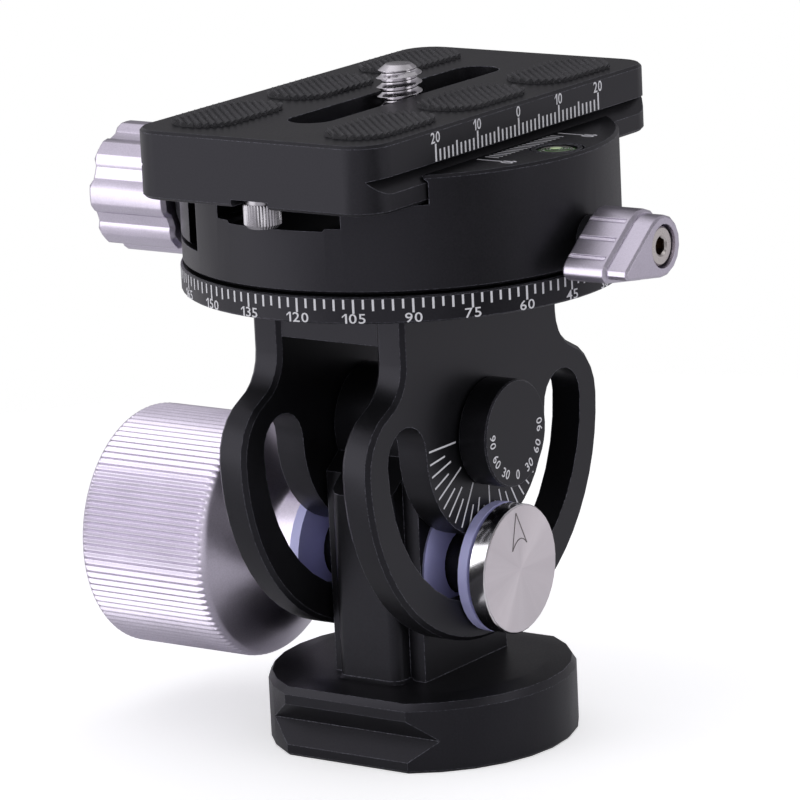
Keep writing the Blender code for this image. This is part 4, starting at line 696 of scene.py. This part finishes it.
def brushed_cap(name):
    """Steel with a mirror rim and a face brushed round its centre; the face's colour is a painted sheen
    that sweeps in sectors round the centre.
    """
    centre = middle("lock_cap")
    recipe = Recipe(name)
    place = recipe.moved((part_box("lock_cap")[1].x, centre.y, centre.z))
    split = recipe.split(place)
    rings = recipe.line_noise(*CAP_RINGS, recipe.length(place))
    rays = recipe.line_noise(*CAP_SHEEN_SECTORS, recipe.math("ARCTAN2", split["Z"], split["Y"]))
    face = recipe.span(split["X"], CAP_EDGE, ZERO_TO_ONE)
    satin = recipe.span(rings, NOISE_SPAN, CAP_ROUGH)
    recipe.rough(recipe.math("MAXIMUM", recipe.math("MULTIPLY", face, satin), CAP_RIM_ROUGH))
    # painted sheen: the face's colour goes lighter and darker by angle round the centre
    brushed = recipe.mix(recipe.span(rays, NOISE_SPAN, ZERO_TO_ONE), *CAP_SHEEN_TONES)
    recipe.colour(recipe.mix(face, CAP_RIM_TONE, brushed))
    recipe.bump(rings, *CAP_RELIEF)
    recipe.set("Metallic", FULL)
    recipe.set("Anisotropic", CAP_BRUSHING)
    tangent = recipe.nodes.new("ShaderNodeTangent")
    tangent.direction_type = "RADIAL"
    tangent.axis = "X"
    recipe.links.new(tangent.outputs[0], recipe.shader.inputs["Tangent"])
    return recipe.material


def lavender_nylon(name):
    """Smooth pale nylon."""
    recipe = Recipe(name)
    cloud = recipe.noise(*NYLON_CLOUDS)
    recipe.colour(recipe.mix(cloud, *NYLON_TONES))
    recipe.rough_by(cloud, NYLON_ROUGH)
    recipe.bump(recipe.noise(*NYLON_GRAIN), *NYLON_RELIEF)
    return recipe.material


def black_rubber(name):
    """Grained rubber with a few bright specks."""
    recipe = Recipe(name)
    grain = recipe.noise(*RUBBER_GRAIN)
    bare = recipe.span(grain, RUBBER_SPECK_SPAN, ZERO_TO_ONE)
    specks = recipe.math("MULTIPLY", recipe.specks(*RUBBER_SPECKS), bare)
    recipe.colour(recipe.mix(specks, recipe.mix(grain, *RUBBER_TONES), RUBBER_SPECK_TONE))
    recipe.rough_by(grain, RUBBER_ROUGH)
    recipe.bump(grain, *RUBBER_RELIEF)
    return recipe.material


def socket_metal(name):
    """Pinkish steel, with painted shade, dark brown, inside its hexagon socket."""
    recipe = Recipe(name)
    split = recipe.split(recipe.moved((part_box("wing_screw")[1].x, 0.0, 0.0)))
    # painted shade: the colour goes dark brown deeper than the socket's mouth
    inside = recipe.span(split["X"], (-HEX_LEAD, -HEX_LEAD - HEX_TIP), ZERO_TO_ONE)
    grain = recipe.noise(*SOCKET_GRAIN)
    recipe.colour(recipe.mix(inside, recipe.mix(grain, *SOCKET_TONES), SOCKET_PAINTED_SHADE))
    recipe.rough_by(grain, SOCKET_ROUGH)
    recipe.bump(grain, *SOCKET_RELIEF)
    recipe.set("Metallic", FULL)
    return recipe.material


def clouded(name, clouds, tones, rough, relief):
    """A plain material that is a little uneven in its colour, its roughness and its surface."""
    recipe = Recipe(name)
    cloud = recipe.noise(*clouds)
    recipe.colour(recipe.mix(cloud, *tones))
    recipe.rough_by(cloud, rough)
    recipe.bump(cloud, *relief)
    return recipe.material


def white_print(name):
    """Thin white ink."""
    return clouded(name, PRINT_CLOUDS, PRINT_TONES, PRINT_ROUGH, PRINT_RELIEF)


def dark_mark(name):
    """Etched lines, darkened."""
    return clouded(name, ETCH_CLOUDS, ETCH_TONES, ETCH_ROUGH, ETCH_RELIEF)


def pale_bubble(name):
    """The vial's air bubble."""
    return clouded(name, AIR_CLOUDS, AIR_TONES, AIR_ROUGH, AIR_RELIEF)


def green_liquid(name):
    """Green liquid under a clear lens, with a painted highlight as a pale rim at its edge."""
    recipe = Recipe(name)
    spread = recipe.length(recipe.moved(middle("bubble_vial")))
    cloud = recipe.noise(*LIQUID_CLOUDS)
    edge = recipe.span(spread, LIQUID_RIM, ZERO_TO_ONE)
    recipe.colour(recipe.mix(edge, recipe.mix(cloud, *LIQUID_TONES), LIQUID_RIM_HIGHLIGHT))
    recipe.rough_by(cloud, LIQUID_ROUGH)
    recipe.set("Coat Weight", FULL)
    recipe.set("Coat Roughness", LIQUID_COAT_ROUGH)
    return recipe.material


# Shading of the solids


def smooth_group(name, angle):
    """Nodes that weld a mesh's split corners and shade it smooth up to an angle."""
    group = bpy.data.node_groups.new(name, "GeometryNodeTree")
    group.interface.new_socket("Geometry", in_out="INPUT", socket_type="NodeSocketGeometry")
    group.interface.new_socket("Geometry", in_out="OUTPUT", socket_type="NodeSocketGeometry")
    nodes, links = group.nodes, group.links
    start = nodes.new("NodeGroupInput")
    end = nodes.new("NodeGroupOutput")
    weld = nodes.new("GeometryNodeMergeByDistance")
    weld.inputs["Distance"].default_value = WELD
    bare = nodes.new("GeometryNodeRemoveAttribute")
    bare.inputs["Name"].default_value = "custom_normal"
    turn = nodes.new("GeometryNodeInputMeshEdgeAngle")
    steep = nodes.new("FunctionNodeCompare")
    steep.data_type = "FLOAT"
    steep.operation = "GREATER_THAN"
    steep.inputs[1].default_value = math.radians(angle)
    links.new(turn.outputs["Unsigned Angle"], steep.inputs[0])
    last = start.outputs[0]
    for node, socket in ((weld, "Geometry"), (bare, "Geometry")):
        links.new(last, node.inputs[socket])
        last = node.outputs[0]
    for domain, smooth, chosen in (("FACE", True, None), ("EDGE", True, None), ("EDGE", False, steep)):
        shade = nodes.new("GeometryNodeSetShadeSmooth")
        shade.domain = domain
        shade.inputs["Shade Smooth"].default_value = smooth
        if chosen:
            links.new(chosen.outputs[0], shade.inputs["Selection"])
        links.new(last, shade.inputs["Geometry"])
        last = shade.outputs[0]
    links.new(last, end.inputs[0])
    return group


def shade_nodes():
    """Every carried-over solid shaded smooth, with flat faces kept flat."""
    group = smooth_group("smooth_by_angle", SHADE_ANGLE)
    for node in NODES.values():
        smooth = node.modifiers.new("smooth", "NODES")
        smooth.node_group = group
        weigh = node.modifiers.new("weigh", "WEIGHTED_NORMAL")
        weigh.keep_sharp = True


def paint_nodes():
    """A material for every carried-over solid."""
    finishes = {
        "black_anodised": black_anodised("black_body", *BLACK_BODY),
        "silver_anodised": silver_anodised("silver_knob", *SILVER),
        "polished_steel": turned_metal("bright_steel", *BRIGHT_STEEL),
        "steel": turned_metal("turned_steel", *TURNED_STEEL),
        "stop_steel": turned_metal("stop_steel", *STOP_STEEL),
        "blackened_steel": black_anodised("black_oxide", *BLACK_OXIDE, OXIDE_GRAIN),
        "brass": turned_metal("turned_brass", *BRASS),
        "lavender_nylon": lavender_nylon("pale_nylon"),
        "black_rubber": black_rubber("pad_rubber"),
        "level_green": green_liquid("vial_liquid"),
    }
    for part in frame["record"]["subparts"]:
        slots = NODES[part["node"]].data.materials
        slots[0] = finishes[part["material_slot"]]
    NODES["lock_cap"].data.materials[0] = brushed_cap("brushed_face")
    NODES["pan_lock_collar"].data.materials[0] = finishes["blackened_steel"]
    NODES["plate"].data.materials[0] = black_anodised("black_plate", *BLACK_PLATE)
    return finishes


# Pieces


def add_piece(name, shape, body, material, angle=None):
    """Makes a mesh piece from a bmesh, on a body, smooth up to an angle where one is given."""
    bmesh.ops.recalc_face_normals(shape, faces=shape.faces)
    mesh = bpy.data.meshes.new(name)
    shape.to_mesh(mesh)
    shape.free()
    if angle:
        mesh.polygons.foreach_set("use_smooth", [True] * len(mesh.polygons))
        mesh.set_sharp_from_angle(angle=math.radians(angle))
    mesh.materials.append(material)
    piece = bpy.data.objects.new(name, mesh)
    bpy.context.scene.collection.objects.link(piece)
    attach(piece, body)
    return piece


def bar(shape, start, end, width, out):
    """A thin raised line from start to end on a face that looks along out."""
    along = (end - start).normalized()
    side = along.cross(out) * (width / 2)
    corners = (start - side, start + side, end + side, end - side)
    low = [shape.verts.new(point - out * PRINT_SINK) for point in corners]
    high = [shape.verts.new(point + out * PRINT_THICKNESS) for point in corners]
    close_prism(shape, low, high)


def close_prism(shape, low, high):
    """The faces of a thin solid between its lower and its upper outline."""
    shape.faces.new(low)
    shape.faces.new(high)
    for at in range(len(low)):
        after = (at + 1) % len(low)
        shape.faces.new((low[at], low[after], high[after], high[at]))


def glyphs(word, height):
    """A word as a flat solid: u to the right from its middle, v up from its foot, w outwards."""
    curve = bpy.data.curves.new("word", "FONT")
    curve.body = word
    curve.align_x = "CENTER"
    curve.extrude = 1.0
    curve.offset = GLYPH_BOLD
    curve.resolution_u = GLYPH_STEPS
    holder = bpy.data.objects.new("word", curve)
    bpy.context.scene.collection.objects.link(holder)
    graph = bpy.context.evaluated_depsgraph_get()
    mesh = bpy.data.meshes.new_from_object(holder.evaluated_get(graph))
    points = [vertex.co.copy() for vertex in mesh.vertices]
    faces = [tuple(face.vertices) for face in mesh.polygons]
    bpy.data.objects.remove(holder)
    bpy.data.curves.remove(curve)
    bpy.data.meshes.remove(mesh)
    low = min(point.y for point in points)
    scale = height / (max(point.y for point in points) - low)
    return [(p.x * scale, (p.y - low) * scale, p.z) for p in points], faces


def write_number(shape, number, height, carry, wide=1.0):
    """Adds a number to a shape digit by digit, each of its points carried to its place."""
    digits = []
    for digit in str(number):
        points, faces = glyphs(digit, height)
        left = min(point[0] for point in points)
        flag = FLAG_REACH * height if digit == "1" else 0.0
        reach = (max(point[0] for point in points) - left + flag) * wide
        digits.append((points, faces, left - flag, reach, flag))
    gap = DIGIT_GAP * height * wide
    start = -(sum(digit[3] for digit in digits) + gap * (len(digits) - 1)) / 2
    for points, faces, left, reach, flag in digits:
        made = []
        for u, v, w in points:
            depth = PRINT_THICKNESS if w > 0.0 else -PRINT_SINK
            made.append(shape.verts.new(carry(start + (u - left) * wide, v, depth)))
        for face in faces:
            shape.faces.new([made[at] for at in face])
        if flag:
            write_flag(shape, start, flag * wide, height, carry)
        start += reach + gap


def write_flag(shape, start, reach, height, carry):
    """The slanting stroke at the top of a 1."""
    tip = height * (1.0 - FLAG_DROP)
    weight = height * FLAG_WEIGHT
    end = start + reach
    outline = [(start, tip), (end, height), (end, height - weight), (start, tip - weight)]
    low = [shape.verts.new(carry(u, v, -PRINT_SINK)) for u, v in outline]
    high = [shape.verts.new(carry(u, v, PRINT_THICKNESS)) for u, v in outline]
    close_prism(shape, low, high)


def flat_carry(foot, right, up):
    """Carries a number's points onto a plane, its foot's middle at foot."""
    out = right.cross(up)
    return lambda u, v, w: foot + right * u + up * v + out * w


def build_ring_scale(ink):
    """Ticks and numerals round the panorama ring."""
    low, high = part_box("yoke")
    radius = (high.x - low.x) / 2
    top = high.z - RING_TICK_DROP
    ticks = bmesh.new()
    labels = bmesh.new()
    foot = high.z - RING_THICKNESS + RING_DIGIT_RISE
    for at in range(round(RING_TURN / RING_TICK)):
        reading = at * RING_TICK
        angle = math.radians(RING_ZERO - reading)
        out = Vector((math.cos(angle), math.sin(angle), 0.0))
        length = RING_SHORT
        if reading % RING_LABEL == 0:
            length = RING_LONG
        elif reading % RING_MEDIUM_TICK == 0:
            length = RING_MEDIUM
        start = Vector((PAN_X, 0.0, top)) + out * radius
        bar(ticks, start, start - Vector((0.0, 0.0, length)), RING_LINE_WIDTH, out)
        if reading % RING_LABEL == 0:
            carry = round_carry(angle, radius, foot)
            write_number(labels, round(reading), RING_DIGITS, carry, RING_DIGIT_WIDE)
    add_piece("ring_ticks", ticks, "tilt_yoke", ink)
    add_piece("ring_numerals", labels, "tilt_yoke", ink)


def round_carry(angle, radius, foot):
    """Carries a number's points round the ring, its middle at an angle."""
    def carry(u, v, w):
        turn = angle + u / radius
        reach = radius + w
        return Vector((PAN_X + reach * math.cos(turn), reach * math.sin(turn), foot + v))
    return carry


def build_tilt_scale(ink):
    """Lines on the right cheek's face round the pivot, and numerals on the boss."""
    out = Vector((1.0, 0.0, 0.0))
    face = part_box("washer_outer_right")[0].x - FAN_SINK
    lines = bmesh.new()
    for at in range(-round(FAN_REACH / FAN_STEP), round(FAN_REACH / FAN_STEP) + 1):
        reading = at * FAN_STEP
        inner = FAN_SHORT
        if reading % BOSS_LABEL == 0:
            inner = FAN_LONG
        elif reading % FAN_MEDIUM_STEP == 0:
            inner = FAN_MEDIUM
        angle = math.radians(reading)
        way = Vector((0.0, math.sin(angle), -math.cos(angle)))
        centre = Vector((face, PIVOT.y, PIVOT.z))
        bar(lines, centre + way * inner, centre + way * FAN_OUTER, FAN_LINE_WIDTH, out)
    add_piece("tilt_lines", lines, "tilt_yoke", ink)
    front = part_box("pivot_boss")[1].x
    labels = bmesh.new()
    for reading in range(-FAN_REACH, FAN_REACH + 1, BOSS_LABEL):
        angle = math.radians(reading)
        way = Vector((0.0, math.sin(angle), -math.cos(angle)))
        right = Vector((0.0, math.cos(angle), math.sin(angle)))
        foot = Vector((front, PIVOT.y, PIVOT.z)) + way * (BOSS_DIGIT_RADIUS + BOSS_DIGITS / 2)
        write_number(labels, abs(reading), BOSS_DIGITS, flat_carry(foot, right, -way))
    add_piece("tilt_numerals", labels, "tilt_yoke", ink)


def build_pointer(mark):
    """The slim arrow engraved on the bolt's round head, its foot a hollow curve."""
    centre = middle("lock_cap")
    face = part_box("lock_cap")[1].x
    out = Vector((1.0, 0.0, 0.0))
    corners = [ARROW_TIP]
    for step in range(ARROW_STEPS + 1):
        share = step / ARROW_STEPS
        terms = ((1 - share) ** 2, 2 * share * (1 - share), share ** 2)
        pull = (ARROW_LEFT, ARROW_NOTCH, ARROW_RIGHT)
        corners.append(tuple(sum(term * end[axis] for term, end in zip(terms, pull)) for axis in range(2)))
    points = [Vector((face, centre.y + y, centre.z + z)) for y, z in corners]
    lines = bmesh.new()
    for start, end in zip(points, points[1:] + points[:1]):
        bar(lines, start, end, ARROW_WIDTH, out)
    add_piece("pointer_mark", lines, "base", mark)


def build_plate_scale(ink):
    """The millimetre scale on the plate's right side."""
    low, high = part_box("plate")
    out = Vector((1.0, 0.0, 0.0))
    foot = Vector((high.x, 0.0, low.z + PLATE_TICK_START))
    up = Vector((0.0, 0.0, 1.0))
    right = Vector((0.0, 1.0, 0.0))
    ticks = bmesh.new()
    labels = bmesh.new()
    for reading in range(-PLATE_TICKS, PLATE_TICKS + 1):
        length = PLATE_SHORT
        if reading % PLATE_TICK_LABEL == 0:
            length = PLATE_LONG
        elif reading % PLATE_TICK_MEDIUM == 0:
            length = PLATE_MEDIUM
        start = foot + right * (reading * PLATE_TICK)
        bar(ticks, start, start + up * length, PLATE_LINE_WIDTH, out)
        if reading % PLATE_TICK_LABEL == 0:
            place = start + up * (PLATE_LONG + PLATE_DIGIT_GAP)
            write_number(labels, abs(reading), PLATE_DIGITS, flat_carry(place, right, up))
    add_piece("plate_ticks", ticks, "camera_plate", ink)
    add_piece("plate_numerals", labels, "camera_plate", ink)


def build_jaw_scale(ink):
    """The short centring scale on the fixed jaw's top."""
    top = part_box("drum")[1].z
    out = Vector((0.0, 0.0, 1.0))
    lines = bmesh.new()
    labels = bmesh.new()
    for reading in range(-JAW_TICKS, JAW_TICKS + 1):
        if abs(reading) == JAW_TICK_BARE:
            continue
        length = JAW_LINE_LONG if abs(reading) == JAW_TICKS else JAW_LINE_SHORT
        start = Vector((PAN_X + JAW_LINE_START, JAW_SHIFT + reading * JAW_TICK, top))
        bar(lines, start, start + Vector((length, 0.0, 0.0)), JAW_LINE_WIDTH, out)
        if abs(reading) == JAW_TICKS:
            foot = start + Vector((JAW_LINE_LONG + JAW_DIGIT_GAP, 0.0, 0.0))
            carry = flat_carry(foot, Vector((0.0, -1.0, 0.0)), Vector((1.0, 0.0, 0.0)))
            write_number(labels, abs(reading), JAW_DIGITS, carry, JAW_DIGIT_WIDE)
    add_piece("jaw_lines", lines, "pan_drum", ink)
    add_piece("jaw_numerals", labels, "pan_drum", ink)


def build_pad(node, rubber):
    """A ribbed pad: a round-cornered oblong with slanting ribs, down to the plate."""
    low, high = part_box(node)
    centre = middle(node)
    half_wide = (high.x - low.x) / 2 + PAD_OVERLAP
    half_long = (high.y - low.y) / 2 + PAD_OVERLAP
    plate_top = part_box("plate")[1].z
    crest = high.z
    valley = plate_top + PAD_VALLEY
    shape = bmesh.new()
    rows = []
    for row in range(PAD_ROWS + 1):
        off = -math.cos(math.pi * row / PAD_ROWS) * half_long
        over = max(abs(off) - (half_long - PAD_CORNER), 0.0)
        reach = half_wide - PAD_CORNER + math.sqrt(PAD_CORNER ** 2 - over ** 2) - PAD_WAVE
        line = []
        for column in range(PAD_COLUMNS + 1):
            across = -math.cos(math.pi * column / PAD_COLUMNS)
            x = centre.x + across * reach
            y = centre.y + off
            wave = 0.5 + 0.5 * math.cos(math.tau * (x + y) / math.sqrt(2) / PAD_PITCH)
            x += across * PAD_WAVE * (2 * wave - 1)
            line.append(shape.verts.new((x, y, valley + (crest - valley) * wave ** PAD_CREST_SHARE)))
        rows.append(line)
    for first, second in zip(rows, rows[1:]):
        for at in range(PAD_COLUMNS):
            shape.faces.new((first[at], first[at + 1], second[at + 1], second[at]))
    rim = [edge for edge in shape.edges if edge.is_boundary]
    skirt = bmesh.ops.extrude_edge_only(shape, edges=rim)["geom"]
    for part in skirt:
        if isinstance(part, bmesh.types.BMVert):
            part.co.z = plate_top - PRINT_SINK
    bmesh.ops.remove_doubles(shape, verts=shape.verts, dist=WELD)
    pad = add_piece(node + "_ribs", shape, "camera_plate", rubber, SHADE_ANGLE)
    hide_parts(node)


def rings_to_shape(rings):
    """A closed skin over rings of equally many points, with a fan over each end."""
    shape = bmesh.new()
    lines = [[shape.verts.new(point) for point in ring] for ring in rings]
    for first, second in zip(lines, lines[1:]):
        for at in range(len(first)):
            after = (at + 1) % len(first)
            shape.faces.new((first[at], first[after], second[after], second[at]))
    for line in (lines[0], lines[-1]):
        tip = shape.verts.new(sum((vertex.co for vertex in line), Vector()) / len(line))
        for at in range(len(line)):
            shape.faces.new((line[at], line[(at + 1) % len(line)], tip))
    return shape


def circle_point(centre, z, radius, at, count):
    """One point of a level circle."""
    angle = math.tau * at / count
    return Vector((centre.x + radius * math.cos(angle), centre.y + radius * math.sin(angle), z))


def level_ring(centre, z, radius, count):
    """The points of a level circle."""
    return [circle_point(centre, z, radius, at, count) for at in range(count)]


def build_camera_screw(metal):
    """The camera screw: a round head under the plate and a real thread above it."""
    low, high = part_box("camera_screw")
    centre = middle("camera_screw")
    head_radius = (high.x - low.x) / 2
    head_top = low.z + SCREW_HEAD_HEIGHT
    edge_radius = head_radius - SCREW_HEAD_EDGE
    heights = [(low.z, edge_radius), (low.z + SCREW_HEAD_EDGE, head_radius),
               (head_top - SCREW_HEAD_EDGE, head_radius), (head_top, edge_radius)]
    rings = [level_ring(centre, z, radius, SCREW_ROUND) for z, radius in heights]
    count = round((high.z - head_top) / SCREW_PITCH * SCREW_STEPS_A_TURN)
    for step in range(count + 1):
        z = head_top + (high.z - head_top) * step / count
        cone = SCREW_FLAT_RADIUS + (high.z - z) * (SCREW_CREST - SCREW_FLAT_RADIUS) / SCREW_CONE_HEIGHT
        ring = []
        for at in range(SCREW_ROUND):
            phase = (z / SCREW_PITCH - at / SCREW_ROUND) % 1.0
            tooth = 1.0 - abs(2 * phase - 1)
            radius = SCREW_ROOT + (SCREW_CREST - SCREW_ROOT) * tooth ** SCREW_TOOTH_SHARE
            ring.append(circle_point(centre, z, min(radius, cone), at, SCREW_ROUND))
        rings.append(ring)
    shape = rings_to_shape(rings)
    screw = add_piece("camera_screw_thread", shape, "camera_screw_body", metal, THREAD_SHADE_ANGLE)
    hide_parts("camera_screw")


def lathed(place, stations, crest, ridges, depth):
    """A turned shape, ridged where its profile of places along and radii comes up to the ridges."""
    count = ridges * RIDGE_POINTS
    rings = []
    for along, radius in stations:
        ring = []
        for at in range(count):
            angle = math.tau * at / count
            ridge = crest - depth * (0.5 - 0.5 * math.cos(angle * ridges))
            ring.append(place(along, angle, min(radius, ridge)))
        rings.append(ring)
    return rings_to_shape(rings)


def build_tilt_knob(metal):
    """The tilt lock's large knob: a fluted grip, a round brow, a cone and a hollow neck."""
    low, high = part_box("tilt_knob")
    centre = middle("tilt_knob")
    radius = (high.z - low.z) / 2
    neck = radius - KNOB_NECK_DROP
    lean = 1 - math.cos(KNOB_LEAN)
    brow_drop = KNOB_RIM + KNOB_BROW * lean
    brow_end = KNOB_GRIP + KNOB_BROW * math.sin(KNOB_LEAN)
    brow = brow_drop / lean
    edge = KNOB_EDGE + KNOB_RIM
    stations = [(0.0, radius - edge)]
    for step in range(1, KNOB_STEPS + 1):
        turn = math.pi / 2 * step / KNOB_STEPS
        stations.append((edge * (1 - math.cos(turn)), radius - edge * (1 - math.sin(turn))))
    for step in range(KNOB_STEPS + 1):
        turn = KNOB_LEAN * step / KNOB_STEPS
        along = brow_end - brow * (math.sin(KNOB_LEAN) - math.sin(turn))
        stations.append((along, radius - brow * (1 - math.cos(turn))))
    foot = neck + KNOB_NECK_FILLET * lean
    cone = (radius - brow_drop - foot) / math.tan(KNOB_LEAN)
    neck_end = brow_end + cone + KNOB_NECK_FILLET * math.sin(KNOB_LEAN)
    for step in range(KNOB_STEPS, -1, -1):
        turn = KNOB_LEAN * step / KNOB_STEPS
        along = neck_end - KNOB_NECK_FILLET * math.sin(turn)
        stations.append((along, neck + KNOB_NECK_FILLET * (1 - math.cos(turn))))
    stations.append((high.x - low.x, neck))

    def place(along, angle, reach):
        y = centre.y + reach * math.cos(angle)
        return Vector((low.x + along, y, centre.z + reach * math.sin(angle)))

    shape = lathed(place, stations, radius, KNOB_FLUTES, KNOB_FLUTE_DEPTH)
    knob = add_piece("tilt_knob_fluted", shape, "tilt_lock_knob", metal, SHADE_ANGLE)
    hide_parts("tilt_knob")


def build_stop(node, metal):
    """A safety stop: a finely knurled head, a smooth collar and the shank above."""
    low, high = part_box(node)
    centre = middle(node)
    radius = (high.x - low.x) / 2
    stations = [
        (0.0, radius - STOP_EDGE),
        (STOP_EDGE, radius),
        (STOP_HEAD - STOP_FLUTE_DEPTH, radius),
        (STOP_HEAD, radius - STOP_FLUTE_DEPTH),
        (STOP_HEAD, STOP_COLLAR_RADIUS),
        (STOP_COLLAR_TOP, STOP_COLLAR_RADIUS),
        (STOP_COLLAR_TOP, STOP_SHANK_RADIUS),
        (high.z - low.z, STOP_SHANK_RADIUS),
    ]

    def place(along, angle, reach):
        x = centre.x + reach * math.cos(angle)
        return Vector((x, centre.y + reach * math.sin(angle), low.z + along))

    shape = lathed(place, stations, radius, STOP_FLUTES, STOP_FLUTE_DEPTH)
    stop = add_piece(node + "_knurled", shape, "camera_plate", metal, SHADE_ANGLE)
    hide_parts(node)


def build_hex_screw(metal):
    """The wing's flat screw with a hexagon socket."""
    low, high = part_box("wing_screw")
    centre = middle("wing_screw")
    radius = (high.y - low.y) / 2
    face = high.x

    def ring(x, reach):
        points = []
        for at in range(HEX_ROUND):
            angle = math.tau * at / HEX_ROUND
            y = centre.y + reach(angle) * math.cos(angle)
            points.append(Vector((x, y, centre.z + reach(angle) * math.sin(angle))))
        return points

    def hexagon(angle):
        turn = (angle + math.pi / 6) % (math.pi / 3) - math.pi / 6
        return HEX_CORNER * math.cos(math.pi / 6) / math.cos(turn)

    rings = [
        ring(low.x, lambda angle: radius),
        ring(face - HEX_LEAD, lambda angle: radius),
        ring(face, lambda angle: radius - HEX_LEAD),
        ring(face, lambda angle: HEX_MOUTH),
        ring(face - HEX_LEAD, hexagon),
        ring(face - HEX_DEPTH, hexagon),
    ]
    screw = add_piece("wing_hex_screw", rings_to_shape(rings), "pan_lock", metal, SHADE_ANGLE)
    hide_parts("wing_screw")


def build_vial(liquid, mark, air):
    """The bubble level: a slightly domed vial with dark circles and its bubble."""
    low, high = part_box("bubble_vial")
    centre = middle("bubble_vial")
    radius = (high.x - low.x) / 2
    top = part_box("bubble_ring")[1].z - VIAL_DOME
    rings = [level_ring(centre, low.z, radius, VIAL_ROUND)]
    for share in VIAL_SHARES:
        z = top + VIAL_DOME * (1.0 - share ** 2)
        rings.append(level_ring(centre, z, radius * share, VIAL_ROUND))
    vial = add_piece("vial_lens", rings_to_shape(rings), "pan_drum", liquid, SHADE_ANGLE)
    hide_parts("bubble_vial")
    circles = bmesh.new()
    for ring_radius in VIAL_RING_RADII:
        z = top + VIAL_DOME * (1.0 - (ring_radius / radius) ** 2)
        add_band(circles, centre, z, ring_radius, VIAL_RING_WIDTH)
    add_piece("vial_circles", circles, "pan_drum", mark)
    spot = centre + Vector((*BUBBLE_ASIDE, 0.0))
    rings = []
    for share, rise in BUBBLE_SHARES:
        z = top + VIAL_DOME + PRINT_THICKNESS * rise
        rings.append(level_ring(spot, z, BUBBLE_RADIUS * share, VIAL_ROUND))
    add_piece("vial_bubble", rings_to_shape(rings), "pan_drum", air, SHADE_ANGLE)


def add_band(shape, centre, z, radius, width):
    """A thin flat ring lying level."""
    lines = []
    for reach, lift in ((radius, -PRINT_SINK), (radius, PRINT_THICKNESS),
                        (radius + width, PRINT_THICKNESS), (radius + width, -PRINT_SINK)):
        ring = level_ring(centre, z + lift, reach, VIAL_ROUND)
        lines.append([shape.verts.new(point) for point in ring])
    for first, second in zip(lines, lines[1:] + lines[:1]):
        for at in range(VIAL_ROUND):
            after = (at + 1) % VIAL_ROUND
            shape.faces.new((first[at], first[after], second[after], second[at]))


build_camera()
build_world()
build_lamps()
build_floor()
shade_nodes()
FINISHES = paint_nodes()
INK = white_print("white_print")
ETCH = dark_mark("etched_mark")
build_ring_scale(INK)
build_tilt_scale(INK)
build_pointer(ETCH)
build_plate_scale(INK)
build_jaw_scale(INK)
for pad_node in [name for name in NODES if name.startswith("pad_")]:
    build_pad(pad_node, FINISHES["black_rubber"])
build_camera_screw(turned_metal("screw_steel", *SCREW_STEEL))
build_tilt_knob(FINISHES["silver_anodised"])
for stop_node in ("stop_screw_front", "stop_screw_back"):
    build_stop(stop_node, FINISHES["stop_steel"])
build_hex_screw(socket_metal("socket_steel"))
build_vial(FINISHES["level_green"], ETCH, pale_bubble("vial_air"))
bpy.context.scene.view_settings.view_transform = "Standard"
